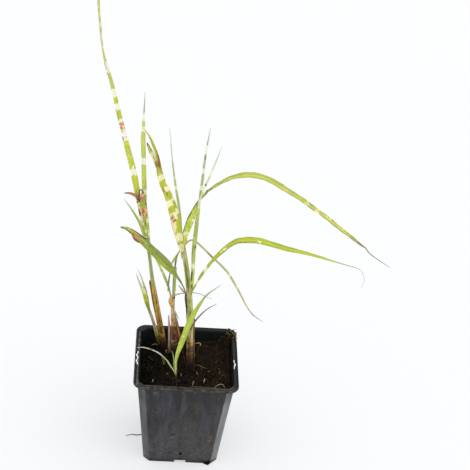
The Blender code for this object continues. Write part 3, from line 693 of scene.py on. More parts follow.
rng = np.random.default_rng(21)
reach = TOP_HALF - 4.6
places = rng.uniform(-reach, reach, (CRUMB_COUNT, 2))
sizes = np.clip(rng.lognormal(-0.62, 0.6, CRUMB_COUNT), 0.22, 2.3)
heights = soil_height(*places.T) + sizes * rng.uniform(-0.1, 0.5, CRUMB_COUNT)
tones = soil_marks(*places.T, 31)
tones[:, 0] *= rng.uniform(0.0, 1.6, CRUMB_COUNT)
tones[:, 1] *= rng.uniform(0.0, 1.6, CRUMB_COUNT)
tones[:, 2] = np.where(rng.random(CRUMB_COUNT) < 0.06, rng.uniform(0.05, 0.3, CRUMB_COUNT), 0)
centres = np.column_stack([places, heights])
plant(add_crumbs("compost_crumbs", centres, sizes, 22, np.clip(tones, 0, 1)), "compost")

start = rng.uniform(-reach, reach, (FIBRE_COUNT, 1, 2))
heading = rng.uniform(0, 2 * math.pi, (FIBRE_COUNT, 1))
share = np.linspace(0, 1, FIBRE_STEPS)[None]
angle = heading + rng.normal(0, 0.9, (FIBRE_COUNT, 1)) * share
step = rng.lognormal(1.35, 0.45, (FIBRE_COUNT, 1)) / FIBRE_STEPS
steps = np.stack([np.cos(angle), np.sin(angle)], axis=-1) * step[..., None]
flat = np.clip(start + np.cumsum(steps, axis=1), -reach, reach)
height = soil_height(*flat.T).T + 0.35 + rng.uniform(0, 1.5, (FIBRE_COUNT, 1)) * np.sin(share * math.pi)
radii = rng.uniform(0.08, 0.2, (FIBRE_COUNT, 1)) * np.array([0.7, 1, 1, 1, 0.9, 0.7, 0.35])
tones = random_tones(FIBRE_COUNT, (0, 1), 0.7, -0.3, 0.3, 0.5)
lines = np.concatenate([flat, height[..., None]], axis=-1)
plant(add_threads("compost_fibres", lines, radii, 3, tones), "compost")

PALE_BITS = [
    ([(8.6, 31.2, 84.5), (10.8, 31.4, 85.2), (13, 31, 84.9), (12.6, 28, 84.4)], 0.42, 0.75),
    ([(6.8, 9.2, 84), (7.5, 9.3, 84.5)], 0.45, 0.8),
    ([(8.4, -0.2, 84.2), (11, -1.5, 85.6), (14.5, -3.8, 85.6), (18.4, -4, 84.4)], 0.26, 0.26),
    ([(10.5, 0.8, 84.2), (13, -2.4, 85.2), (14, -6.5, 84.4)], 0.22, 0.22),
    ([(15.6, -21.5, 82.6), (16, -21.2, 84.6), (16.1, -20.9, 86.6)], 0.55, 0.8),
    ([(6.2, -22, 84), (6.5, -24.5, 84.8), (5.6, -28.3, 83.8)], 0.32, 0.5),
    ([(23.5, -35.9, 88.4), (26, -35, 90.6), (28.6, -34, 91.6), (31.2, -33.6, 91.2), (33, -35.2, 89.4)], 0.3,
     0.6),
    ([(4, -36.6, 90), (9, -37, 90.4), (16, -37.2, 90.3), (24, -37.4, 90), (30, -37.6, 89.8)], 0.2, 0.3),
    ([(-33.2, 10.5, 84), (-31.6, 7, 84.8), (-28.6, 3.2, 84.6)], 0.4, 0.06),
    ([(-28.6, -24.6, 83.4), (-28, -22.8, 84.8)], 0.4, 0.6),
    ([(-30.6, 22.5, 87), (-28, 23.4, 87.8), (-25.1, 23.1, 87)], 0.3, 0.4),
    ([(9, -9.6, 84), (9.4, -11, 84.8), (10.6, -12.8, 84)], 0.45, 0.3),
    ([(26, 2, 85), (27.6, 5, 86), (27, 8, 85)], 0.3, 0.06),
    ([(-4.6, -12.4, 83), (-4.2, -13.6, 84.6), (-4, -15.2, 83.4)], 0.5, 0.32),
    ([(-18.2, 20, 84), (-17.8, 18, 85.6), (-17.4, 16, 84)], 0.34, 0.55),
    ([(30, -14, 84.6), (33, -13.5, 85.4), (35, -16, 84.6)], 0.24, 0.12),
]
plant(add_bits("pale_rootlets", PALE_BITS, 0.6, 0.1), "compost")

# ---------------------------------------------------------------- the clump on the back corner
# A tuft of fine roots, with crumbs caught in it, spills over the rim at the back right corner. It was pulled
# up there when the plant was lifted in, and has dried a lighter, redder brown.

CLUMP_CENTRE = np.array([40.7, 36.4, 92.6])
CLUMP_CRUMBS = 170
CLUMP_ROOTS = 22
ROOT_STEPS = 8
rng = np.random.default_rng(41)
ball = rng.normal(size=(CLUMP_CRUMBS, 3))
ball *= (rng.random((CLUMP_CRUMBS, 1)) ** 0.4) / np.linalg.norm(ball, axis=1, keepdims=True)
spots = CLUMP_CENTRE + ball * (3.7, 8.4, 1.9) + (0, 0, 0.7)
spots[:, 2] -= np.clip(-(spots[:, 0] - 38) - (spots[:, 1] - 38), 0, 8) * 0.9
spots[:, :2] -= np.clip(spots[:, 0] + spots[:, 1] - 80.5, 0, None)[:, None] / 2
sizes = np.clip(rng.lognormal(-0.2, 0.5, CLUMP_CRUMBS), 0.35, 2.2)
tones = random_tones(CLUMP_CRUMBS, (0.1, 0.9), 0.6, -0.1, 0.22, 0.4)
plant(add_crumbs("corner_clump", spots, sizes, 42, tones), "root_crumbs", "root_clump")

share = np.linspace(0, 1, ROOT_STEPS)[None, :, None]
start = CLUMP_CENTRE + rng.normal(size=(CLUMP_ROOTS, 1, 3)) * (2.6, 3.4, 0.4) + (0, 0, 1.3)
pull = rng.normal(size=(CLUMP_ROOTS, 1, 3)) * (3.0, 3.6, 0.4)
bow = rng.normal(size=(CLUMP_ROOTS, 1, 3)) * (1.2, 1.2, 0.2) + (0, 0, 0.6)
lines = start + pull * share + bow * np.sin(share * math.pi)
lines[..., :2] = np.clip(lines[..., :2], 29, (45.4, 42.5))
lines[..., 2] = np.clip(lines[..., 2] - np.clip(36 - lines[..., 0], 0, 6) * 0.7, 86, 94.6)
radii = rng.uniform(0.1, 0.26, (CLUMP_ROOTS, 1)) * np.linspace(1.1, 0.5, ROOT_STEPS)
tones = random_tones(CLUMP_ROOTS, (0.2, 1), 0.9, -0.1, 0.25, 0.6)
plant(add_threads("corner_tuft", lines, radii, 4, tones), "root_crumbs")

CORNER_ROOTS = [
    ([(36.2, 42.6, 93.2), (38, 41, 94.2), (40, 38.4, 94.8), (41.8, 35.8, 94.6), (43, 33.4, 93.8)], 0.42, 0.5),
    ([(35.4, 38, 91.6), (37.4, 39.6, 93.4), (39.6, 42, 94.2)], 0.4, 0.25),
    ([(43.4, 36, 93.8), (44.2, 33, 93.8), (44.4, 29, 93.4), (44.2, 26, 92.9)], 0.5, 0.3),
    ([(41, 30, 92.4), (42.4, 32.6, 93.4), (43.6, 35.6, 93.6)], 0.36, 0.3),
]
plant(add_bits("corner_roots", CORNER_ROOTS, 0.7, 0.5), "root_crumbs")

# ---------------------------------------------------------------- the left shoot
# The tallest shoot: a stalk of rolled sheaths, ochre and dry below and green above, with an old brown sheath
# round its foot. At its collar it opens into a tall blade, an upright blade and two short dead ones.
# Blades are thin green tissue with pale cross bands, streaked with rust where they have scorched.

FRONT = np.array([0.0, -0.857, 0.515])
LEAF_STEP = 0.9
LEAF_COLUMNS = 15
LEAF_EDGE = 0.09
RIB_GROOVE = 0.12
STALK_STEP = 1.1
SHEATH_STEP = 1.0
SHEATH_COLUMNS = 17
SHEATH_SHEET = 0.2
STALK_SLOPE = 24.0  # the most that the edge of a patch fades over, in mm
SHEATH_SLOPE = 10.0
LEAF_SLOPE = 3.6
LEAF_SHARP = 75
PATTERN_STEP = 3.7
KINDS = {"pale": 0, "rust": 1, "dry": 2, "dark": 3}


def spread(values, count):
    """A short list of values, evenly placed along a piece, read at count places and eased, as a column."""
    read = np.interp(np.linspace(0, 1, count), np.linspace(0, 1, len(values)), values)
    window = max(3, count // (4 * len(values)) * 2 + 1)
    padded = np.pad(read, window // 2, mode="edge")
    return np.convolve(padded, np.ones(window) / window, mode="valid")[:count, None]


def guide(route, step, least=2, turns=(0,)):
    """A piece's middle line in even steps, the share and the distance run, and its three directions.

    These are along it, across it and to its face. The face is FRONT made square to the line, then turned
    about the line by so many degrees."""
    length = np.linalg.norm(np.diff(np.asarray(route, float), axis=0), axis=1).sum()
    count = max(least, int(length / step))
    line = smooth_route(route, count)
    along = np.gradient(line, axis=0)
    along /= np.linalg.norm(along, axis=1)[:, None]
    face = FRONT - (along @ FRONT)[:, None] * along
    face /= np.linalg.norm(face, axis=1)[:, None]
    across = np.cross(along, face)
    turn = np.radians(spread(turns, count))
    c, s = np.cos(turn), np.sin(turn)
    across, face = across * c + face * s, face * c - across * s
    share = np.linspace(0, 1, count)[:, None]
    return line[:, None], share, share * length, along[:, None], across[:, None], face[:, None]


def soft_step(value, start, slope):
    """0 before start and 1 after it, over a short smooth slope."""
    t = np.clip((value - start) / slope + 0.5, 0, 1)
    return t * t * (3 - 2 * t)


def painted(place, side, patches, slope):
    """The four masks: pale, rust, dry and dark.

    A patch is (start, stop, strength, left, right): a smooth step in and out along the piece, times one
    across it. Where patches overlap, the stronger one shows."""
    masks = np.zeros((*place.shape, 4))
    for kind, entries in patches.items():
        for start, stop, *rest in entries:
            strength, left, right = *rest, *(1.0, -1.5, 1.5)[len(rest):]
            edge = min(slope, 0.8 * (stop - start))
            run = soft_step(place, start, edge) * (1 - soft_step(place, stop, edge))
            width = soft_step(side, left, 0.45) * (1 - soft_step(side, right, 0.45))
            layer = masks[..., KINDS[kind]]
            np.maximum(layer, strength * run * width, out=layer)
    return masks


def dress(name, slot, finish, rings, lie, side, distance, place, patches, slope, nodes, seam=0.0):
    """A piece from its rings, with the masks of its patches and the place of its pattern on it.

    Round each ring, lie places the pattern and side the patches; distance and place do so along the piece."""
    shape = rings.shape[:2]
    masks = painted(np.broadcast_to(place, shape), side, patches, slope)
    masks[..., 3] = np.maximum(masks[..., 3], seam)
    uv = np.stack([np.broadcast_to(lie, shape), np.broadcast_to(distance, shape)], axis=-1).reshape(-1, 2)
    piece = add_mesh(name, rings.reshape(-1, 3), ring_faces(*shape), finish, uv, masks, LEAF_SHARP)
    plant(piece, slot, *((name,) if nodes is None else nodes))


def leaf(name, slot, finish, route, widths, turns=(0,), curls=(30,), thick=0.32, ripple=0.0, by=2, left=(1,),
         right=(1,), nodes=None, phase=0.0, slope=LEAF_SLOPE, **patches):
    """A grass blade. Its cross section is an arc with a groove over the midrib and a keel under it.

    At every step along the route the arc has the blade's width and turns through its curl in degrees; left
    and right scale the two halves where they are torn. Edges ripple in two sine waves that grow outwards.
    Thickness falls from the midrib to the edges. Patches are placed by x (0) or z (2)."""
    line, _, distance, _, across, face = guide(route, LEAF_STEP, 14, turns)
    width, bend, left, right = (spread(values, len(line)) for values in (widths, curls, left, right))
    t = np.linspace(-1, 1, LEAF_COLUMNS)[None]
    angle = t * np.radians(bend) / 2
    radius = width / np.radians(bend)
    out = radius * np.sin(angle) * np.where(t < 0, left, right)
    waves = np.sin(distance * 0.21 + phase + 1.6 * (t > 0))
    waves = waves + 0.6 * np.sin(distance * 0.53 + 2 * phase - t)
    lift = radius * (1 - np.cos(angle)) + ripple * t * t * np.minimum(width, 4) / 4 * waves
    lift = lift - RIB_GROOVE * np.exp(-((t / 0.13) ** 2)) * np.minimum(width, 3) / 3
    sheet = np.minimum(thick, width * 0.5) * (0.3 + 0.7 * (1 - np.abs(t) ** 1.6))
    sheet = np.maximum(sheet, np.minimum(LEAF_EDGE, width * 0.3))
    keel = 0.22 * np.exp(-((t / 0.12) ** 2)) * np.minimum(width, 4) / 4
    place = line + across * out[..., None] + face * lift[..., None]
    normal = face * np.cos(angle)[..., None] - across * np.sin(angle)[..., None]
    front = place + normal * (sheet / 2)[..., None]
    back = place - normal * (sheet / 2 + keel)[..., None]
    rings = np.concatenate([front, back[:, ::-1]], axis=1)
    side = np.concatenate([t, t[:, ::-1]], axis=1)
    dress(name, slot, finish, rings, side, side, distance, line[..., by], patches, slope, nodes)


def stalk(name, slot, finish, route, half_widths, half_depths, lap=60, nodes=None, sides=30, **patches):
    """A stalk of rolled sheaths: an oval that swells into a low lap where the outer sheath's edge lies on it.

    The lap winds slowly round the stalk; the oval's radius grows evenly from the lap's edge round to it,
    and falls off there in a smooth step. Patches are placed by z, and across by the cosine of the angle."""
    line, share, distance, _, across, face = guide(route, STALK_STEP)
    wide, deep = spread(half_widths, len(line)), spread(half_depths, len(line))
    turn = (np.arange(sides) / sides * 2 * math.pi)[None]
    round_share = ((turn - math.radians(lap) - 0.7 * share) / (2 * math.pi)) % 1
    swell = 0.95 + 0.1 * round_share * (1 - soft_step(round_share, 0.965, 0.07))
    swell = swell + 0.012 * np.sin(9 * turn + 0.02 * distance)
    rings = line + across * (wide * swell * np.cos(turn))[..., None]
    rings = rings + face * (deep * swell * np.sin(turn))[..., None]
    lie, side = turn / math.pi - 1, np.cos(turn)
    seam = 0.55 * np.exp(-(((round_share - 0.985) / 0.02) ** 2))
    dress(name, slot, finish, rings, lie, side, distance, line[..., 2], patches, STALK_SLOPE, nodes, seam)


def old_sheath(name, slot, finish, route, radii, middle, half_spans, ragged=0.25, seed=0, **patches):
    """A dead sheath, dried to paper: a trough round part of a shoot, middle degrees round from its right.

    Its two edges wander in and out with value noise along the sheath, its tip splits into shreds, and the
    whole trough buckles in shallow lengthwise folds."""
    line, share, distance, along, across, face = guide(route, SHEATH_STEP, 16)
    t = np.linspace(-1, 1, SHEATH_COLUMNS)[None]
    wander = 1 + ragged * (value_noise(distance, np.sign(t) * 9, 6.0, seed) - 0.5) * 2 * np.abs(t)
    angle = math.radians(middle) + t * np.radians(spread(half_spans, len(line))) * wander
    folds = 0.05 * np.sin(t * 7 + seed) + 0.06 * np.sin(t * 3 + share * 5 + seed)
    peel = 0.35 * np.abs(t) ** 3 * (value_noise(distance, np.sign(t) * 5, 9.0, seed + 1) + share - 0.4)
    radius = spread(radii, len(line)) * (1 + folds + np.maximum(peel, 0) * 0.5)
    outward = across * np.cos(angle)[..., None] + face * np.sin(angle)[..., None]
    shred = np.clip(share - 0.86, 0, 1) * (value_noise(t * 8, share * 0, 1.0, seed + 2) - 0.5)
    shred = shred * distance[-1] * 0.6
    inside = line + outward * radius[..., None] + along * shred[..., None]
    back = inside + outward * SHEATH_SHEET
    rings = np.concatenate([inside, back[:, ::-1]], axis=1)
    side = np.concatenate([t, t[:, ::-1]], axis=1)
    dress(name, slot, finish, rings, side, side, distance, line[..., 2], patches, SHEATH_SLOPE, None)


def leaf_tissue_group():
    """Grass tissue, alive and dead. Streaks stretched along the leaf break the masks' edges; veins run in it.

    Lie is the side, -1 to 1, the distance in mm and a number that moves the pattern. The colour starts green,
    mottled, and takes the edge colour, then pale, rust, dry and dark by their masks."""
    inputs = [("Lie", "Vector", (0, 0, 0)), ("Masks", "Color", (0, 0, 0, 1)), ("Dark Mask", "Float", 0.0)]
    colours = ("Green", "Deep", "Pale", "Rust", "Dry", "Dark", "Edge")
    inputs += [(colour, "Color", (0.5, 0.5, 0.5, 1)) for colour in colours]
    inputs += [(amount, "Float", 0.5) for amount in ("Rim", "Veins", "Rib", "Streak", "Crisp")]
    tree, given, out = new_group("leaf_tissue", inputs,
                                 [("Colour", "Color"), ("Roughness", "Float"), ("Height", "Float")])
    lie = given["Lie"]
    side = lie.split()[0]
    streaks = lie.noise(1, 4, 0.65, (3.2, 0.16, 1))
    flecks = lie.noise(1, 3, 0.6, (7, 0.55, 1.3))
    clouds = lie.noise(1, 2, 0.5, (0.8, 0.06, 0.7))
    blotches = lie.noise(1, 1, 0.5, (1.5, 0.36, 1.9))
    pale, rust, dry = given["Masks"].split("Color")

    shift = streaks + blotches * 1.6 - 1.3

    def broken(mask, low, high):
        """The mask, pushed up and down by the noise only where it slopes, and then made crisper."""
        cut = (shift * (mask * (1.08 - mask) * 4.5) + mask).ease(low, high)
        return (cut - mask) * given["Crisp"] + mask

    away = abs(side)
    pale = broken(pale, 0.25, 0.7).larger(flecks.ease(0.66, 0.74) * 0.35)
    pale = pale * (flecks.ease(0.3, 0.38) * 0.45 + 0.55)
    dark = broken(given["Dark Mask"], 0.2, 0.65)
    colour = layered(given["Green"], (clouds.ease(0.35, 0.7), given["Deep"]),
                     (streaks.ease(0.45, 0.65) * given["Streak"], given["Deep"]),
                     (away.ease(0.62, 1.0) * given["Rim"], given["Edge"]),
                     ((1.0 - away.ease(0.03, 0.14)) * given["Rib"], given["Pale"]), (pale, given["Pale"]),
                     (dry * flecks.ease(0.1, 0.5), given["Dry"]), (broken(rust, 0.2, 0.7), given["Rust"]),
                     (dark, given["Dark"]))
    vein = side.calc("SINE", side * (given["Veins"] * (2 * math.pi)))
    dead = dry.larger(rust).larger(dark)
    shade = vein * 0.04 + 0.96 - streaks.ease(0.42, 0.62) * (dead * 0.34)
    shaded = node(tree, "ShaderNodeVectorMath", {0: colour, "Scale": shade}, operation="SCALE")
    connect(out, {"Colour": Wire(shaded.outputs[0]), "Roughness": dead * 0.32 + 0.4 + flecks * 0.12,
                  "Height": vein * 0.3 + streaks * 0.5 + flecks * dead * 0.8})
    return tree


LEAF_TISSUE = leaf_tissue_group()
CREAM = (246, 240, 206)
SCORCH = (150, 88, 46)
STRAW = (186, 168, 130)
SPOT = (74, 50, 34)
OLIVE = (128, 136, 58)
tissue_count = 0


def tissue(name, green, deep, pale=CREAM, rust=SCORCH, dry=STRAW, dark=SPOT, edge=OLIVE, rim=0.5, rib=0.25,
           veins=8.0, streak=0.4, crisp=1.0):
    """A grass finish: the shared pattern in this piece's own colours, moved on from the last piece's."""
    global tissue_count
    tissue_count += 1
    made, shader = new_material(name)
    tree = made.node_tree
    lie = Wire(node(tree, "ShaderNodeUVMap", uv_map="lie").outputs[0])
    move = (0, 0, PATTERN_STEP * tissue_count)
    moved = node(tree, "ShaderNodeVectorMath", {0: lie, 1: move}, operation="ADD")
    marks = node(tree, "ShaderNodeAttribute", attribute_name="marks").outputs
    inputs = {"Lie": Wire(moved.outputs[0]), "Masks": Wire(marks["Color"]), "Dark Mask": Wire(marks["Alpha"]),
              "Rim": rim, "Rib": rib, "Veins": veins, "Streak": streak, "Crisp": crisp}
    colours = {"Green": green, "Deep": deep, "Pale": pale, "Rust": rust, "Dry": dry, "Dark": dark,
               "Edge": edge}
    inputs.update((key, paint(*colour)) for key, colour in colours.items())
    pattern = node(tree, "ShaderNodeGroup", inputs, node_tree=LEAF_TISSUE).outputs
    connect(shader, {"Base Color": Wire(pattern["Colour"]), "Roughness": Wire(pattern["Roughness"]),
                     "Normal": Wire(pattern["Height"]).bump(0.00012, 0.6), "Specular IOR Level": 0.35,
                     "Subsurface Weight": 0.2, "Subsurface Radius": (0.6, 0.9, 0.25),
                     "Subsurface Scale": 0.0012})
    return made


LEFT_SHOOT = [(-18.5, 27.5, 74), (-22.6, 26.2, 99), (-29.6, 25.4, 134), (-34.4, 24.8, 160.5),
              (-39.1, 23.4, 193.7), (-46.9, 22, 238.2)]
stalk("left_stem", "ochre_stalk",
      tissue("left_stalk_tissue", (182, 190, 124), (150, 162, 104), dry=(214, 176, 74),
             rust=(172, 110, 26), dark=(56, 21, 8), pale=(156, 144, 52), rim=0, rib=0, veins=16,
             streak=0.4, crisp=0.4), LEFT_SHOOT, [2.9, 2.6, 2.35, 2.3, 1.75, 1.35, 2.2, 3.1, 3.5],
      [3, 2.8, 2.4, 2.2, 1.7, 1.4, 1.5, 1.5, 1.2], lap=75,
      pale=[(104, 134, 0.8, -1.5, -0.2), (146, 158, 0.4)],
      rust=[(96, 122, 0.85, -0.6, 0.3), (130, 142, 0.5, -0.2, 0.4)],
      dry=[(50, 150, 1, -1.5, 0.6), (50, 132, 0.9, 0.5)],
      dark=[(50, 97), (98, 112, 0.5), (104, 146, 0.4, 0.65)])
stalk("left_collar", "ochre_stalk",
      tissue("left_collar_tissue", (192, 198, 76), (158, 166, 62), pale=(246, 240, 196),
             dry=(250, 196, 140), rust=(178, 102, 46), dark=(108, 86, 42), rim=0, rib=0, veins=14,
             streak=0.7, crisp=0.8), [(-40.1, 23.1, 200), (-43.5, 22.5, 219), (-47.2, 22, 239)],
      [2.5, 3.1, 3.6, 3.9, 4.3], [1.6, 1.9, 2, 2.1, 1.9], lap=75, nodes=(),
      pale=[(221.8, 224.8, 0.8, -0.5, 0.2), (228.6, 242, 0.8, -1.5, -0.4),
            (211.6, 222.6, 0.95, -1.5, -0.3), (214.4, 219.2, 0.75, 0.4, 0.85),
            (204.6, 209, 0.7, -0.4, 0.25), (198, 207, 0.7, 0.25, 0.95), (196, 203, 0.5, -0.6, 0)],
      rust=[(224.2, 228, 0.9, -0.1, 0.35), (208.6, 213.8, 0.35, -0.6, 0)], dry=[(222.2, 229.4)],
      dark=[(222.6, 228.2, 0.9, -1.3, -0.6), (221.4, 225, 0.8, 0.45, 0.8), (229, 242, 0.35, 0.6),
            (214.4, 219.4, 0.85, -0.72, -0.42), (202.6, 206.2, 0.3, -0.1, 0.3)])
old_sheath("left_old_sheath", "brown_sheath",
           tissue("old_brown_sheath_left", (196, 142, 74), (146, 96, 44), pale=(196, 150, 104),
                  dry=(150, 110, 70), dark=(52, 27, 20), edge=(194, 144, 82), rim=0.7, rib=0, veins=9,
                  streak=0.8),
           [(-18.8, 27.5, 74), (-22.8, 26.2, 99), (-29.8, 25.4, 134), (-33.4, 25, 152)],
           [3, 2.6, 2.4, 2.6, 2.2], 204, [56, 54, 54, 56, 38], seed=5,
           dark=[(60, 104, 0.9), (104, 128, 0.3)])
leaf("left_tall_leaf", "banded_blade",
     tissue("left_tall_tissue", (206, 214, 52), (182, 192, 46), pale=(252, 249, 224), edge=(182, 184, 92),
            dry=(228, 224, 172), rust=(216, 142, 100)),
     [(-46.8, 21.8, 230), (-49, 21.5, 238.3), (-54, 21, 263), (-62, 19, 294), (-67.5, 17, 317),
      (-74.3, 15, 345), (-79, 14, 361), (-82.3, 12, 381), (-85, 10, 411), (-86.4, 8, 446)],
     [3.6, 5.2, 5.5, 5, 4.5, 3.9, 3.6, 3.3, 2.6, 2.2, 2.4, 2.6, 2.4, 1.7, 0.4],
     [0, 0, -5, -10, -5, 5, 50, 35, 30, 40], [120, 70, 40, 34, 34, 40, 55, 60, 70], ripple=0.22,
     phase=0.4,
     pale=[(259.5, 265.5), (262, 268, 0.8, -0.3, 0.5), (291.5, 311), (319.5, 325.5), (331, 338),
           (351.5, 361), (372, 386, 0.75), (390, 394, 0.8), (262, 292, 0.2), (398.5, 402, 0.7),
           (405, 407, 0.5), (420, 424, 0.6), (433, 436, 0.5)],
     rust=[(293.6, 295.4, 0.4, 0.3, 0.7), (301.6, 309, 0.65), (332.5, 336.5, 0.15, -0.4, 0.6),
           (374, 380, 0.3)], dry=[(338, 366, 0.3), (366, 470, 0.62)],
     dark=[(292.6, 296, 0.8, -0.9, -0.5), (298.6, 301.6, 0.5, -0.8, -0.3), (298.4, 301, 0.45, 0.3, 0.9),
           (305, 322, 0.6, -1.5, -0.75), (344, 351, 0.25, -1.5, -0.6), (346, 362, 0.6, -1.5, -0.7),
           (362.5, 366, 0.3, -1.5, -0.4)])
leaf("left_upright_leaf", "banded_blade",
     tissue("left_upright_tissue", (208, 217, 98), (186, 199, 86), pale=(252, 248, 226),
            dry=(196, 196, 170), edge=(158, 170, 90)),
     [(-43.6, 22.6, 231), (-44, 23.8, 239.3), (-45.9, 26, 267), (-47.7, 29.5, 295), (-47.9, 34, 328)],
     [3.2, 4.2, 4.1, 4, 3.9, 4, 3.4, 2, 1.1, 0.4], [8, 12, 15], [90, 55, 40, 36, 50, 70], ripple=0.12,
     phase=2,
     pale=[(240, 244.5), (267.5, 273.5), (295.5, 299.5), (304.5, 311), (248, 258, 0.3, -0.9, 0),
           (285, 287, 0.4, -0.2, 0.6)], dry=[(311, 335, 0.7)])
leaf("left_withered_tip", "dry_blade",
     tissue("withered_tip_tissue", (194, 130, 104), (162, 104, 82), dark=(96, 84, 78), edge=(126, 90, 66),
            rib=0.1),
     [(-47.6, 19.6, 236.2), (-48.4, 19.4, 237.6), (-49.6, 19, 240.1), (-52.1, 18.4, 242.2),
      (-54.4, 17.6, 243.8), (-57.1, 16, 245.3), (-60.6, 14, 246.3)], [1.8, 2.9, 3, 2.8, 2.4, 1.8, 0.5],
     [10, -25, -30], [80, 70, 60, 80], by=0, dark=[(-65, -58.5, 0.9), (-51, -47, 0.4)])
leaf("left_slender_leaf", "olive_blade",
     tissue("left_slender_tissue", (190, 202, 112), (158, 174, 88), dry=(206, 212, 164)),
     [(-41.6, 20.6, 196), (-43.2, 20.6, 203), (-44.8, 20.6, 209), (-47.5, 20.8, 216), (-50.9, 20, 222.7),
      (-54.2, 18.6, 229), (-57.5, 16.6, 235), (-60.6, 14.4, 240.5)], [1.6, 2, 2.2, 2.2, 1.9, 1.5, 1, 0.3],
     [0], [90, 60, 60, 80], dry=[(229, 246, 0.9)])
# dead scraps on the left shoot's collar: a dark hook, a salmon fold under it and a torn strip
leaf("left_collar_hook", "dry_blade",
     tissue("collar_hook_tissue", (108, 96, 70), (84, 72, 48), dark=(86, 84, 30), rib=0),
     [(-48.4, 17.6, 240.5), (-48.3, 17.6, 245), (-48.2, 17.6, 247.7), (-47.3, 17.6, 248.6),
      (-46.4, 17.6, 247.8), (-45.5, 17.6, 246.3), (-45.2, 17.6, 244.5)], [0.8, 1.1, 1.2, 1.1, 0.5], [0],
     [70], nodes=(), dark=[(240, 245, 0.9)])
leaf("left_collar_fold", "dry_blade",
     tissue("collar_fold_tissue", (208, 152, 112), (180, 118, 80), dark=(112, 78, 26),
            pale=(236, 190, 160), rib=0),
     [(-46, 17.9, 247.4), (-45.8, 17.9, 243.8), (-46.2, 17.9, 239.6), (-46.7, 17.9, 237.1)],
     [1.4, 3.4, 3.9, 2.8, 0.8], [20, 0], [60], nodes=(), ripple=0.3,
     pale=[(234, 239, 0.7, 0, 1), (241, 250, 0.6)], dark=[(231, 237, 0.8, -1.5, -0.2)])
leaf("left_collar_knot", "dry_blade", tissue("collar_knot_tissue", (120, 84, 30), (92, 62, 26), rib=0),
     [(-47.2, 18, 239.5), (-48, 17.8, 237.8), (-49.4, 17.8, 236.4), (-50.2, 18, 235.6)],
     [0.6, 1.4, 1.2, 1.5, 0.5], [0], [90], nodes=(), ripple=0.3)

# ---------------------------------------------------------------- the young shoot
# A thin young shoot behind the left one. Its sheath is brown and dry at the foot and green above, and its top
# splits into two short pointed blades, bleached almost white at their tips.

stalk("young_stem", "green_stalk",
      tissue("young_stalk_tissue", (186, 196, 108), (152, 162, 80), dry=(220, 194, 176),
             rust=(186, 176, 62), dark=(44, 24, 12), rim=0, rib=0, veins=12, streak=0.8, crisp=0.4),
      [(-22.3, 35, 74.5), (-24.4, 34.5, 81), (-27.6, 34, 94.3), (-31.1, 33.5, 106.6), (-34.8, 32.5, 118),
       (-37.2, 32, 127)], [1.9, 1.7, 1.5, 1.35, 1.3, 1.2], [1.9, 1.5, 1.3, 1.2, 1.1, 0.8], lap=80,
      rust=[(76, 95, 0.9)], dry=[(90, 113, 0.9)], dark=[(60, 88, 0.95), (98, 126, 0.35, 0.6)])
leaf("young_leaf_left", "olive_blade",
     tissue("young_left_tissue", (216, 226, 64), (190, 204, 56), pale=(255, 250, 206),
            rust=(178, 150, 96), dry=(228, 228, 206), edge=(192, 186, 108), rim=0.6),
     [(-33.7, 32.3, 115.3), (-34.8, 32.3, 118.1), (-36.4, 32, 123.7), (-37.6, 32, 129),
      (-39, 31.5, 134.6), (-41, 31, 140.1), (-42.6, 30.7, 143.4), (-44.3, 30.3, 147.8),
      (-46.2, 29.8, 153.2), (-47.8, 29, 159)], [2.2, 2.8, 4, 4.5, 4.3, 3.1, 2, 1.5, 1, 0.3], [0],
     [110, 56, 38, 36, 50], pale=[(136, 142.5, 0.9, -0.5), (143, 147, 0.7)],
     rust=[(116, 136, 0.5, 0.5), (110, 121, 0.5)], dry=[(143, 165, 0.8)])
leaf("young_leaf_right", "olive_blade",
     tissue("young_right_tissue", (206, 212, 140), (182, 188, 120), rust=(176, 138, 98),
            dry=(232, 230, 212)),
     [(-36.7, 32.4, 126), (-37.7, 32.6, 132), (-39, 32.8, 138), (-40.6, 33, 144), (-42.2, 33, 149.2),
      (-44.1, 33, 154.4), (-47, 33, 161)], [1.5, 2.6, 2.6, 1.8, 1.3, 1, 0.3], [0], [120, 70, 60, 80],
     rust=[(136, 143, 0.6, 0.1)], dry=[(145, 165, 0.9)])

# ---------------------------------------------------------------- the middle shoot
# A thin green shoot whose lower half is wrapped in old sheaths, dried pinkish brown and split into strips.
# From its collar come a thin blade, a dark one and a dead one that has shrunk to a thread.

stalk("middle_stem", "ochre_stalk",
      tissue("middle_stalk_tissue", (206, 212, 120), (170, 182, 96), pale=(240, 216, 162),
             dry=(240, 196, 146), rust=(124, 66, 26), dark=(46, 14, 4), rim=0, rib=0, veins=14,
             streak=0.8, crisp=0.5),
      [(-10, 19.5, 74), (-12, 19, 107), (-14.5, 18.5, 129), (-14.5, 18, 146), (-15, 15, 176)],
      [3.2, 3.1, 2.7, 1.9, 1.35, 1.5, 1.5], [3.2, 3, 2.6, 1.8, 1.2, 1.3, 1.2], lap=100,
      pale=[(116, 142, 0.85, -1.5, 0.3)],
      rust=[(94, 118, 0.8), (112, 142, 0.6, 0.55), (118, 134, 0.4, -0.7, -0.3), (116, 126, 0.4)],
      dry=[(50, 124), (124, 146, 0.8, 0.2)],
      dark=[(50, 97), (96, 118, 0.6, 0.2, 0.6), (142.4, 145.6, 1, -0.3), (150, 166, 0.8, -1.5, -0.68),
            (97, 108, 0.6, -0.2, 0.2), (106, 116, 0.3, -0.1, 0.5)])
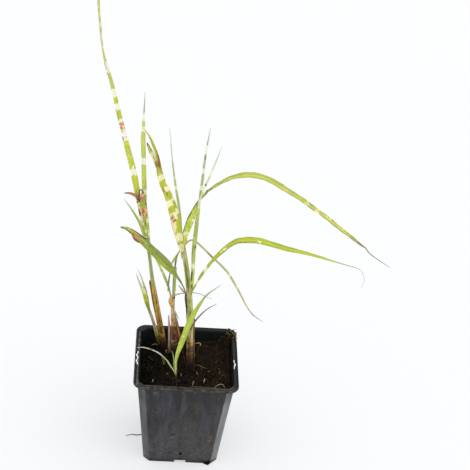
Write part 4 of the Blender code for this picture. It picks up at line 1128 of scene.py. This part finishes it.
old_sheath("middle_old_sheath_right", "brown_sheath",
           tissue("old_brown_sheath_right", (194, 130, 88), (112, 56, 34), pale=(250, 208, 154),
                  dark=(54, 22, 16), edge=(84, 44, 34), rim=0.9, rib=0, veins=10, streak=1, crisp=0.6),
           [(-4, 15, 77), (-5.8, 15.6, 95), (-9, 16.6, 108), (-11.6, 17.4, 120), (-12.6, 17.8, 126)],
           [2.6, 2.6, 2.1, 1.6, 1], 300, [95, 88, 72, 50, 12], seed=8, ragged=0.3,
           pale=[(92, 126, 0.85, -0.1, 0.3), (96, 122, 0.5, -0.34, -0.2)],
           dark=[(60, 97, 0.9), (90, 116, 0.75, -1, -0.35), (94, 104, 0.5, -0.2, 0.1)])
old_sheath("middle_old_sheath_left", "straw_sheath",
           tissue("old_straw_sheath_left", (236, 200, 180), (170, 118, 98), pale=(255, 228, 212),
                  dark=(74, 36, 28), edge=(120, 74, 62), rib=0, veins=8, streak=1, crisp=0.6),
           [(-13.2, 17, 77), (-14, 17.2, 98), (-15, 17.3, 112), (-16, 17.2, 122)], [2.5, 2.7, 2.4, 1.9],
           235, [48, 46, 40, 14], seed=12, ragged=0.25, pale=[(88, 130, 0.9, -0.6, 0.25)],
           dark=[(60, 86, 0.8), (84, 112, 0.7, 0.5)])
leaf("middle_thin_leaf", "olive_blade",
     tissue("middle_thin_tissue", (196, 212, 112), (162, 182, 90), rust=(178, 150, 96)),
     [(-15.8, 17.2, 138), (-16.6, 17, 143.5), (-18.3, 16.5, 150.5), (-19.8, 16, 156), (-21.8, 15, 162),
      (-24, 14, 168), (-26.4, 13, 174), (-29.3, 11.5, 181), (-32.5, 10, 188)],
     [1.5, 1.7, 1.7, 1.9, 2.3, 2.4, 2, 1.2, 0.4], [0], [140, 90, 55, 50, 70],
     pale=[(157, 160, 0.4), (168, 184, 0.5, -1.5, 0.1)], rust=[(136, 145, 0.5)])
leaf("middle_dark_leaf", "olive_blade",
     tissue("middle_dark_tissue", (168, 178, 108), (140, 150, 94), edge=(120, 126, 88),
            dark=(134, 128, 126)),
     [(-15.2, 15.6, 164), (-15.3, 14.8, 169), (-15.2, 13.8, 176.2), (-14.9, 13.2, 182.7),
      (-14.3, 12.8, 188.6), (-12.7, 12.3, 193.7), (-10.8, 12, 196.6)],
     [1.4, 1.5, 1.4, 1.5, 1.7, 1.4, 0.5], [0], [120, 80, 60, 70], dark=[(175, 184, 0.9)])
leaf("dead_thread_leaf", "dry_blade",
     tissue("dead_thread_tissue", (216, 180, 152), (188, 148, 122), dark=(146, 134, 142),
            dry=(182, 172, 180), edge=(180, 142, 120), rib=0, veins=2),
     [(-15.2, 16.4, 144), (-13.5, 12, 149.4), (-9.6, 3, 157.5), (-5.8, -7, 165.3), (-1.9, -12.5, 170),
      (2.9, -15.5, 171.7), (7.9, -17, 171.5), (12.2, -17.5, 169.7), (16.5, -18, 168.6)],
     [1.2, 1.5, 1.6, 1.5, 1.3, 1.2, 1, 0.8, 0.3], [0, 40, 10], [160], thick=0.25, by=0, dry=[(1, 40)],
     dark=[(8, 14, 0.4)])
# scraps near the middle shoot: a torn lobe of its collar, slivers, strips and grey shreds of old blade
SCRAP_DARK = tissue("scrap_dark_tissue", (142, 156, 106), (112, 124, 88), rib=0, veins=3)
SCRAP_LIGHT = tissue("scrap_light_tissue", (200, 210, 106), (174, 186, 88), rib=0, veins=3)
SCRAP_GREY = tissue("scrap_grey_tissue", (150, 150, 136), (122, 120, 116), rib=0, veins=3)
leaf("middle_collar_lobe", "dry_blade",
     tissue("collar_lobe_tissue", (218, 184, 140), (190, 144, 108), pale=(232, 188, 92),
            edge=(172, 122, 90), rim=0.9, rib=0, veins=3),
     [(-14.7, 15.2, 133.2), (-16.1, 14.4, 138.5), (-17.1, 14.2, 142.2), (-16.6, 14.6, 145.4),
      (-15.3, 15, 146.9)], [1, 3, 3.8, 3, 1], [10], [80], nodes=(), ripple=0.3,
     pale=[(137, 144.5, 0.95, -0.2, 0.8)])
leaf("middle_dark_sliver", "olive_blade", SCRAP_DARK,
     [(-19.5, 15.4, 151), (-19.6, 15, 159.8), (-19.2, 14.6, 167.3), (-18.9, 14.2, 173.4)],
     [1.3, 1.5, 1.3, 0.6], [10], [60], nodes=())
leaf("middle_light_strip", "olive_blade", SCRAP_LIGHT,
     [(-14.6, 12.6, 190.6), (-16, 12.8, 186.4), (-17.5, 13, 182.7), (-19.2, 13.2, 178.6)],
     [0.7, 1.8, 2, 0.9], [0], [60], nodes=())
leaf("collar_grey_shred", "dry_blade", SCRAP_GREY,
     [(-5.8, -8.4, 166.5), (-7.6, -8.6, 168.6), (-9.4, -9, 171.2), (-12, -9, 174.6)],
     [1.4, 1.5, 1.2, 0.4], [20], [80], nodes=())
leaf("middle_grey_sliver", "dry_blade", SCRAP_GREY,
     [(-12.2, 15.6, 130.4), (-10.8, 15, 126.6), (-8.4, 14.4, 122.2)], [0.4, 1, 0.3], [0], [60], nodes=())

# ---------------------------------------------------------------- the centre shoot
# The main shoot. Its stalk is dark red at the foot, tan where an old sheath clings to it and grey green
# above. Most of the blades leave from its top: the broad banded one that has scorched, a slender one at the
# back, the long arching one and a drooping one; two more leave from a collar half way up.

stalk("centre_stem", "green_stalk",
      tissue("centre_stalk_tissue", (186, 192, 108), (152, 158, 86), pale=(234, 206, 172),
             dry=(170, 124, 56), rust=(146, 134, 38), dark=(48, 12, 2), rim=0, rib=0, veins=16,
             streak=0.7, crisp=0.45),
      [(4.5, -4, 74), (1.5, -4.5, 115), (-1.6, -5, 157), (-5.4, -3.5, 184), (-10, -1.4, 206)],
      [3.4, 3.3, 3.2, 3, 2.8, 2.4, 2.1, 2.2], [3.4, 3.1, 2.9, 2.7, 2.5, 2, 1.8, 2], lap=70,
      pale=[(100, 128, 0.7, 0.1, 0.75), (194, 206, 0.7, -1.5, -0.35), (160.5, 170, 0.95),
            (134, 156, 0.3, 0.35, 0.9), (188, 200, 0.4, 0.1, 0.6)],
      rust=[(170, 195, 0.85, -0.6, 0.1), (126, 158, 0.35, -0.3, 0.3), (156, 160.4, 0.9, -0.2, 0.25),
            (176, 196, 0.3, 0.6)], dry=[(84, 124, 0.95, -1.5, 0.25), (90, 124, 0.8, 0.7)],
      dark=[(50, 101), (99, 112, 0.7), (106, 120, 0.5, -1.5, -0.1)])
old_sheath("centre_old_sheath", "brown_sheath",
           tissue("old_brown_sheath_centre", (120, 76, 50), (76, 42, 30), pale=(150, 104, 70),
                  dark=(42, 24, 18), edge=(70, 44, 40), rib=0, veins=9, streak=1),
           [(4.5, -4, 74), (1.5, -4.5, 115), (-1.5, -5, 157), (-2.8, -4.9, 166)],
           [3.7, 3.5, 2.6, 2.3, 2.3, 2.4, 2.6, 2.8], 185, [62, 55, 40, 30, 26, 20, 16, 10], seed=15,
           ragged=0.2, dark=[(60, 96, 0.8), (140, 170, 0.8)])
leaf("centre_old_flap", "brown_sheath",
     tissue("old_flap_tissue", (56, 40, 26), (32, 22, 14), edge=(96, 72, 50), rib=0, veins=4),
     [(-5.4, -6.2, 166), (-4.9, -6.8, 160), (-4, -7.2, 153.4), (-2.8, -7.4, 145)],
     [1, 1.8, 1.7, 1.3, 0.4], [-20], [80], nodes=())
old_sheath("centre_tan_sheath", "straw_sheath",
           tissue("old_tan_sheath_centre", (212, 170, 122), (156, 102, 60), pale=(226, 190, 148),
                  dark=(50, 14, 4), edge=(120, 78, 60), rim=0.8, rib=0, veins=9, streak=0.9, crisp=0.5),
           [(4.5, -4, 74), (1.5, -4.5, 115), (0, -4.8, 136)], [3.7, 3.6, 3.6], 352, [60, 44, 10], seed=18,
           pale=[(108, 126, 0.6, -0.4, 0.4)], dark=[(50, 100), (98, 110, 0.7)])
leaf("banded_leaf", "banded_blade",
     tissue("banded_tissue", (186, 194, 34), (162, 170, 30), pale=(246, 238, 190), dry=(240, 214, 146),
            rust=(160, 100, 58), dark=(112, 92, 44), edge=(166, 156, 84), rim=0.75, crisp=0.7),
     [(-9.6, -2.4, 197), (-10.8, -3.4, 204.6), (-15.5, -5, 224), (-20.1, -6.5, 243), (-25.6, -8, 260),
      (-32.2, -10, 277), (-36.2, -13, 297), (-42, -16, 314), (-47.5, -18, 323)],
     [2.8, 4.4, 6.2, 7.8, 8, 7.2, 6.4, 6, 5, 4, 2.8, 1.7, 0.4], [0, -5, -12, -15, -10, 0, 10],
     [130, 80, 45, 36, 36, 40, 50, 70], ripple=0.25, phase=1.2,
     left=[1, 1, 1, 1, 1, 1, 1, 0.9, 0.8, 0.75, 0.9, 1], right=[1, 1, 1, 1.12, 1.12, 1, 1, 1, 1, 1],
     pale=[(203, 211.6, 0.8), (214.8, 223, 0.85), (193, 204, 0.35), (222, 228.6, 0.6, -1.5, -0.3),
           (227.8, 234, 0.85, -0.95, 0.05), (233.4, 242.8, 1, -1.5, 0.15), (236, 243, 0.95, 0, 0.5),
           (240.4, 246.4, 0.85, 0.5), (249.2, 255.4, 0.95, -1.5, 0.45), (252.6, 257.6, 0.7, 0.6),
           (262.8, 267.6, 0.9, -0.3, 0.8), (261.5, 272, 0.8, 0.6), (273.6, 279.2, 0.9),
           (292.6, 306, 0.85, -1.5, -0.5)],
     rust=[(205, 226, 0.35, -1.5, -0.8), (235, 241.8, 0.75, -0.8, -0.35), (234, 237, 0.75, -0.6, 0.15),
           (218, 243, 0.5, -1.5, -0.86), (262.8, 266.8, 0.8, -0.8, -0.38), (284.6, 289, 0.4, 0),
           (286.8, 293, 0.95, -0.1), (287, 292, 0.6, -1.5, 0), (291.6, 298, 0.95, 0.35),
           (291, 298, 0.25)],
     dry=[(224, 234, 0.4, -1.5, -0.3), (233, 243, 0.75, -1.5, 0), (211.4, 215, 0.3, -0.2, 0.5),
          (205, 210, 0.5, -0.2, 0.6), (314, 330, 0.3)],
     dark=[(237.6, 240.4, 0.6, -0.5, -0.1), (253, 256, 0.3, 0.05, 0.3), (259.4, 262, 0.6, -0.25, 0.2),
           (276, 287, 0.4, -1.5, -0.72), (278.6, 287, 0.55, 0.72), (294, 302, 0.75, 0.6)])
leaf("torn_strip", "banded_blade",
     tissue("torn_strip_tissue", (196, 206, 106), (166, 178, 86), dark=(110, 84, 96), rust=(150, 116, 76),
            pale=(246, 238, 198), edge=(150, 138, 96), rim=0.8),
     [(-33, -9.8, 280.5), (-34.8, -10, 285), (-36.6, -10.6, 290.5), (-39, -11.4, 296.2),
      (-41.6, -12.6, 301.9), (-43.9, -14, 308)], [1.4, 2.6, 3.2, 3.3, 2.8, 1], [0], [40, 60], nodes=(),
     ripple=0.2, pale=[(278, 284), (290.4, 299, 0.9), (300, 305, 0.4, -0.6, 0.2)],
     rust=[(291, 298, 0.5, -0.2, 0.2), (299, 306, 0.4, 0.1)], dark=[(305.4, 310, 0.95)])
leaf("slender_back_leaf", "banded_blade",
     tissue("slender_back_tissue", (198, 208, 128), (172, 184, 110), pale=(236, 236, 206),
            dry=(214, 218, 200), edge=(160, 170, 104)),
     [(-10, -0.4, 198), (-10.7, 0.9, 204.4), (-15, 3.5, 239), (-20, 6, 264), (-23.5, 9, 284),
      (-27, 14, 308)], [2.4, 2.6, 2.8, 2.6, 2.2, 1.7, 1.1, 0.3], [20, 35, 30], [120, 70, 60, 60, 80],
     pale=[(257.5, 260.5), (266.5, 269.5), (281, 292, 0.6), (295.5, 301)], rust=[(260.5, 265.5, 0.12)],
     dry=[(266, 284, 0.45), (283, 315, 0.6)], dark=[(214, 238, 0.35, 0.3)])
leaf("upper_arching_leaf", "banded_blade",
     tissue("upper_arching_tissue", (190, 194, 72), (166, 171, 62), pale=(244, 242, 182),
            dry=(154, 130, 104), rust=(218, 232, 104), dark=(120, 128, 60), edge=(128, 130, 56), rim=0.8,
            rib=0.4),
     [(-9.6, -2.4, 199), (-10, -1.6, 208), (-9.1, 0.5, 216.9), (-7.1, 3, 223.3), (-5, 5, 229.8),
      (-2.5, 7, 236.4), (-0.6, 8.4, 241.4), (0.8, 9.4, 245.1), (3, 10, 248.7), (5.7, 10.4, 252),
      (9.2, 11, 255.9), (25.5, 13, 266.5), (46.5, 15, 268.8), (70, 17, 257.2), (100.5, 20, 235.8),
      (132, 24, 210.2), (142.1, 26.2, 201.7), (146.3, 26.6, 198.7), (149.3, 26.8, 194.8),
      (156, 27, 189.2), (170.5, 28, 179.5)],
     [3.2, 5.4, 6.8, 6.3, 5.6, 6, 6.3, 6.6, 6.6, 6.2, 5.7, 5.3, 5.1, 5, 4.6, 3.1, 1.4, 0.9, 0.5],
     [0, 5, 12, 36, 80, 76, 58, 48, 44, 42, 42, 42, 42, 42, 42, 40, 38, 36, 34, 32, 30],
     [140, 90, 56, 50, 46, 40, 38, 38, 40, 50, 90, 120], ripple=0.22, by=0, phase=0.9, slope=1.8,
     pale=[(-5.4, -4, 0.9, 0.1, 0.9), (-9.6, -7.8, 0.75), (69, 73.5, 0.25), (87.4, 89.4, 0.5, 0.2),
           (89.6, 92, 0.5, -1.5, 0.2), (96.8, 101.6, 0.5)],
     rust=[(-12, -9.6, 1, -0.75), (-7.8, -1.6, 1, -0.75, 0.1), (-7.8, -5.6, 0.9, 0.1),
           (-3.8, -1.6, 1, 0.1), (103, 130, 0.35, -1.5, 0.3)],
     dry=[(90.6, 95.4, 0.6, 0.5), (92, 97.6, 0.8, -1.5, -0.5), (95, 102, 0.35, -1.5, -0.6),
          (104, 139, 0.75, 0.5), (131, 139, 0.45), (138, 180)],
     dark=[(-12, 0.5, 0.8, -1.5, -0.72), (-0.8, 11, 0.5), (9, 22, 0.25, -0.4, 0.4),
           (32, 48, 0.22, -0.2, 0.15)])
# on the broad leaf, the grey-green dry patch from -48 to -8 over one half is painted sheen
leaf("broad_leaf", "banded_blade",
     tissue("broad_tissue", (156, 170, 34), (126, 144, 34), pale=(204, 202, 112), rust=(192, 152, 86),
            dark=(86, 80, 44), dry=(140, 148, 88), edge=(122, 126, 62), rim=0.6, rib=0.15, streak=0.8),
     [(-4.6, -6.4, 161), (-6.1, -6.6, 167), (-8.2, -7.2, 172.4), (-11.2, -8.4, 178.4), (-16, -10, 186.6),
      (-21, -11.4, 193.5), (-28, -12.8, 201.9), (-36.4, -13.8, 211.6), (-44.2, -14, 219.8),
      (-51.2, -13, 225.4), (-56.8, -11.4, 228.3), (-61.6, -10, 228.4)],
     [1.7, 1.8, 2, 2.8, 6, 8.3, 8.4, 7.7, 7, 6.3, 5.4, 4.2, 1.1], [-55, -45, -30, -25, -20, -20, -20],
     [140, 100, 70, 50, 42, 44, 60, 80], ripple=0.3, by=0, phase=2.6,
     pale=[(-54, -40, 0.75, -0.1, 0.65), (-38, -12, 0.6, 0.2, 0.36), (-30, -10, 0.5, 0.6, 0.7),
           (-60, -53, 0.6, -0.1)], rust=[(-53, -46.4, 0.9, -1.5, 0.4)],
     dry=[(-48, -8, 0.7, 0), (-13, 0, 0.8)],
     dark=[(-55, -42, 0.85, 0.7), (-43, -18, 0.6, 0.04, 0.16), (-40, -16, 0.4, 0.42, 0.52),
           (-64, -59.6, 0.7), (-62, -52, 0.9, -1.5, -0.35)])
leaf("broad_leaf_lobe", "dry_blade",
     tissue("broad_lobe_tissue", (170, 108, 68), (124, 72, 46), pale=(206, 150, 98), dark=(84, 44, 34),
            edge=(104, 60, 44), rim=0.8, rib=0, veins=4),
     [(-42.6, -14.9, 217.2), (-46, -15, 219.4), (-49, -15, 221.7), (-50.8, -14.8, 224),
      (-51.4, -14.4, 226)], [0.8, 3.4, 4.8, 4.4, 1.6], [-20], [60], nodes=(), ripple=0.3, by=0,
     pale=[(-54, -45, 0.9, 0.3)], dark=[(-54, -50, 0.5, -1.5, -0.5)])
leaf("drooping_leaf", "olive_blade",
     tissue("drooping_tissue", (190, 194, 128), (160, 164, 104), dry=(206, 186, 144),
            dark=(134, 126, 118), rust=(144, 100, 66), edge=(144, 146, 98)),
     [(-10.8, -1.2, 204.4), (-9.6, 0, 206.4), (-7.8, 2, 208.7), (-5.8, 4, 209.9), (-3.4, 5, 210.4),
      (-0.8, 6, 209.4), (2.3, 7.2, 206.3), (13.5, 10, 193.5), (27.5, 13, 177.5), (35, 14.6, 165.5),
      (42.5, 16, 151.5), (49, 17.2, 138.5), (55, 18, 129.5), (60, 18.6, 125), (65.5, 19, 121)],
     [1.5, 1.7, 1.8, 2, 2.2, 2, 1.7, 1.2, 0.3], [0, 20, 30], [110, 90, 80, 80, 130], by=0,
     pale=[(30, 33, 0.5), (38, 40, 0.4)], rust=[(10, 18, 0.6, -0.3), (-2, 4, 0.2)], dry=[(43, 53.5)],
     dark=[(53.5, 70, 0.8)])
# on the lower arching leaf, the dark patch from 16 to 46 along one edge is painted shade along its lower edge
leaf("lower_arching_leaf", "banded_blade",
     tissue("lower_arching_tissue", (184, 190, 38), (160, 170, 32), pale=(246, 242, 200),
            dry=(186, 190, 154), dark=(122, 134, 64), rust=(216, 216, 202), edge=(118, 146, 48), rim=0.6,
            rib=0.3),
     [(-0.6, -9.4, 166), (1, -10.6, 172.5), (8, -14, 191.7), (17, -18, 210), (30, -23, 228),
      (46, -28, 234), (58, -30.5, 233), (69.5, -33, 231.4), (84, -35.5, 230), (98, -38, 228),
      (110, -40, 225.8), (122, -42, 223.8), (128.5, -42.5, 222.2), (131.3, -43, 220.6),
      (133.4, -43, 216.8), (134.9, -43, 212.1), (134.5, -43, 207.7), (133.6, -43, 204.2)],
     [2.2, 2.7, 3.2, 3.6, 4, 4.6, 5.4, 6.2, 6, 5.1, 4.1, 2.9, 1.8, 1.1, 0.8, 0.7, 0.4],
     [55, 48, 40, 35, 30, 25, 20], [130, 80, 55, 42, 36, 34, 36, 45, 80], ripple=0.18, by=0, phase=3.3,
     slope=1.6,
     pale=[(2.8, 4.4, 0.9), (8.2, 10.6, 0.9), (20, 25, 0.55, -0.6, 0.5), (48, 50.5, 0.7, -0.2, 0.6),
           (61, 62.5, 0.3), (96, 112, 0.15)], rust=[(129, 145, 0.8)], dry=[(112, 140, 0.9)],
     dark=[(4.6, 8, 0.25, -1.5, -0.4), (16, 46, 0.35, 0.45), (28, 44, 0.25, -1.5, -0.6)])
leaf("short_brown_leaf", "dry_blade",
     tissue("short_brown_tissue", (132, 108, 96), (104, 84, 78), dark=(66, 54, 52), rib=0.1),
     [(0.6, -7.2, 120), (1.2, -8.6, 128), (4.5, -10.5, 140), (12.5, -13, 153.5), (21, -16, 162.5)],
     [1.5, 1.6, 1.8, 1.5, 0.9, 0.3], [0, -30], [140], by=0, pale=[(-2, 2, 0.4)], dark=[(14, 19.5, 0.8)])

# ---------------------------------------------------------------- the right side shoot
# A slim side shoot leaves the main one at its collar. It stands nearly upright, and ends in two thin blades
# that lean apart, with grey dead stretches between their bands.

stalk("right_stem", "green_stalk",
      tissue("right_stalk_tissue", (196, 206, 108), (162, 176, 84), pale=(244, 240, 196),
             dark=(80, 86, 40), rim=0, rib=0, veins=9, streak=0.8, crisp=0.7),
      [(-1.2, -8.8, 160), (-0.9, -9.3, 167.5), (-0.7, -8, 180), (-0.8, -5.5, 192), (-1.2, -3, 207),
       (0.4, 3.5, 245), (0.8, 3.9, 249)], [0.8, 1.3, 1.6, 1.65, 1.8, 1.75, 1.5, 1.1],
      [0.7, 0.9, 1.1, 1.2, 1.2, 1.1, 1, 0.8], lap=110, sides=20,
      pale=[(188.5, 196, 0.6), (231, 236, 0.3), (243, 250, 0.7)],
      dark=[(208, 210.5, 0.8, 0.1), (180, 188, 0.75, -1.5, 0.1), (168, 178, 0.4, -0.6, 0.8),
            (218, 242, 0.25, -1.5, -0.75)])
leaf("right_leaf_back", "banded_blade",
     tissue("right_back_tissue", (196, 202, 148), (168, 176, 128), pale=(240, 238, 214),
            rust=(182, 174, 124), dry=(196, 194, 180), dark=(164, 160, 146), edge=(164, 168, 138)),
     [(0.2, 3.2, 240), (0.6, 4.3, 245.5), (1.8, 8, 266), (3, 12, 288), (5.3, 18, 308)],
     [1.9, 2.4, 2.5, 2.2, 1.8, 1.3, 0.3], [10], [130, 80, 70, 90], slope=1.6,
     pale=[(257.5, 261.5), (271.5, 276), (287.5, 295)], rust=[(253, 257, 0.7)],
     dry=[(276, 287, 0.9), (295, 312, 0.8)], dark=[(283, 287, 0.5)])
leaf("right_leaf_front", "banded_blade",
     tissue("right_front_tissue", (232, 238, 182), (212, 220, 162), pale=(248, 246, 220),
            dry=(222, 226, 204), dark=(120, 110, 88), edge=(190, 196, 148)),
     [(0.2, 3, 238), (0.6, 2.4, 247.9), (3, 0.4, 261.3), (6.5, -3, 274.5), (10.3, -6, 289.9),
      (14, -9, 306.4)], [1.7, 1.9, 1.9, 1.8, 1.5, 1.1, 0.25], [20], [130, 80, 70, 90], slope=1.6,
     pale=[(259.5, 265.5), (276.5, 282.5), (249, 252, 0.7)], dry=[(287, 310, 0.7)],
     dark=[(266, 268, 0.7)])

# ---------------------------------------------------------------- the front seedling
# A seedling-sized shoot by the front wall: one bright blade that leans right, a short spike beside it, and a
# dead blade that has dried to a pale thread and hangs over the left rim.

leaf("front_leaf", "banded_blade",
     tissue("front_leaf_tissue", (190, 204, 60), (166, 185, 48), pale=(228, 230, 180),
            dry=(168, 170, 134), dark=(78, 64, 36), edge=(160, 178, 78), rib=0.35),
     [(-6.5, -27.5, 74), (-9, -28, 98), (-9.7, -29, 114), (-5.6, -30, 134), (-0.4, -31, 155.5),
      (6.6, -33, 174.5), (11.7, -35, 185), (21.3, -38, 196.5)],
     [1.2, 1.3, 1.5, 1.8, 2.8, 4.2, 4.9, 5, 4.7, 4.1, 2.9, 1.5, 0.9, 0.3], [0, 0, 10, 15, 10],
     [170, 170, 130, 70, 46, 42, 50, 80], ripple=0.2, phase=4.1,
     pale=[(90, 112, 0.5, -1.5, 0.2), (135.5, 138.5, 0.6, -0.5, 0.3), (112, 134, 0.3, -1.5, -0.3),
           (112, 132, 0.45, 0.2, 0.45)], dry=[(179, 200, 0.9)],
     dark=[(60, 100, 0.8, -0.1), (60, 95), (193, 195.5, 0.4)])
leaf("front_spike", "olive_blade", tissue("front_spike_tissue", (158, 178, 78), (132, 152, 68)),
     [(-9.8, -28.2, 96), (-11.3, -28.2, 105), (-11.9, -27.5, 112), (-13.8, -26, 118.5)],
     [1, 1.3, 1.2, 0.3], [0], [110])
leaf("front_dry_leaf", "dry_blade",
     tissue("front_dry_tissue", (192, 196, 150), (160, 158, 118), pale=(226, 220, 196),
            dry=(206, 198, 176), dark=(136, 112, 88), rust=(168, 140, 112), rib=0.1, veins=4),
     [(-8.8, -27.8, 91), (-9.8, -27.2, 96.4), (-11.6, -25, 97.6), (-13.4, -22.2, 98.4),
      (-16.3, -17.4, 99.8), (-17.3, -15.4, 100), (-22.6, -6.4, 99), (-26.6, -3, 99.3),
      (-30.8, -0.2, 99.2), (-32.2, 0.8, 98.9), (-37.6, 5.9, 96.5), (-43.3, 8.8, 93.9)],
     [0.9, 1.1, 1.3, 1.5, 1.3, 1.4, 1.5, 1.3, 1.5, 1.3, 1.2, 0.5], [-30], [120, 110, 140, 160], by=0,
     pale=[(-44, -34, 0.5), (-12, -8, 0.3)], rust=[(-22, -17, 0.5)], dry=[(-46, -20)],
     dark=[(-33, -30, 0.5)])
leaf("front_green_sliver", "olive_blade",
     tissue("front_sliver_tissue", (84, 104, 44), (60, 78, 34), rib=0),
     [(-18.9, -1.4, 84.6), (-20.2, 0.2, 89), (-22.8, -0.7, 96.6)], [1.6, 2, 1.4, 0.4], [0], [80],
     nodes=())

# ---------------------------------------------------------------- the studio
# The plant stands on a wide pale floor under even light: a white surround, a broad soft light from above, one
# from the right and a weaker one from the left. The camera looks down at it from a standing height.

FLOOR_REACH = 9000.0
CAMERA_PLACE = np.array([-0.038, -0.835, 0.737])
CAMERA_YAW = math.radians(-4.77)
CAMERA_PITCH = math.radians(-31.63)
CAMERA_ROLL = math.radians(5.72)
CAMERA_LENS = 36 * 1200 / 470  # the picture is 470 wide for a distance of 1200
LAMP_SPREAD = math.radians(70)


def floor_paper():
    """Matt white sheet, lit faintly from below, with clouds of very slightly cooler and warmer white."""
    made, shader = new_material("floor_paper")
    colour = layered((164, 165, 167), (on_object(shader).noise(2.2, 2, 0.4), (167, 167, 167)))
    connect(shader, {"Base Color": colour, "Emission Color": (0.975, 0.985, 1.0, 1.0),
                     "Emission Strength": 0.52, "Roughness": 0.95, "Specular IOR Level": 0.1})
    return made


def soft_light(name, strength, pitch, turn):
    """A far, wide light: it leans back by pitch degrees from straight down, and is then turned about +Z."""
    lamp = bpy.data.lights.new(name, "SUN")
    lamp.energy = strength
    lamp.angle = LAMP_SPREAD
    holder = bpy.data.objects.new(name, lamp)
    holder.rotation_euler = (math.radians(pitch), 0, math.radians(turn))
    bpy.context.scene.collection.objects.link(holder)


paper_points, paper_faces = box_cutter((-FLOOR_REACH, -FLOOR_REACH, -2), (FLOOR_REACH, FLOOR_REACH, 0))
floor = add_mesh("studio_floor", paper_points, paper_faces, floor_paper())

world = bpy.data.worlds.new("studio_surround")
world.use_nodes = True
connect(world.node_tree.nodes["Background"], {"Color": (0.97, 0.985, 1.0, 1.0), "Strength": 0.8})
bpy.context.scene.world = world
bpy.context.scene.view_settings.view_transform = "Standard"
soft_light("top_light", 0.8, 14, 20)
soft_light("right_light", 0.9, 60, 78)
soft_light("left_light", 0.45, 60, -78)

level = np.array([math.cos(CAMERA_YAW), math.sin(CAMERA_YAW), 0.0])
ahead = np.array([-math.sin(CAMERA_YAW), math.cos(CAMERA_YAW), 0.0])
forward = ahead * math.cos(CAMERA_PITCH) + np.array([0, 0, math.sin(CAMERA_PITCH)])
upward = np.cross(level, forward)
right = math.cos(CAMERA_ROLL) * level + math.sin(CAMERA_ROLL) * upward
up = math.cos(CAMERA_ROLL) * upward - math.sin(CAMERA_ROLL) * level
lens = bpy.data.cameras.new("camera")
lens.lens = CAMERA_LENS
lens.clip_start, lens.clip_end = 0.05, 30.0
camera = bpy.data.objects.new("camera", lens)
pose = np.eye(4)
pose[:3] = np.column_stack([right, up, -forward, CAMERA_PLACE])
camera.matrix_world = Matrix(pose.tolist())
bpy.context.scene.collection.objects.link(camera)
bpy.context.scene.camera = camera
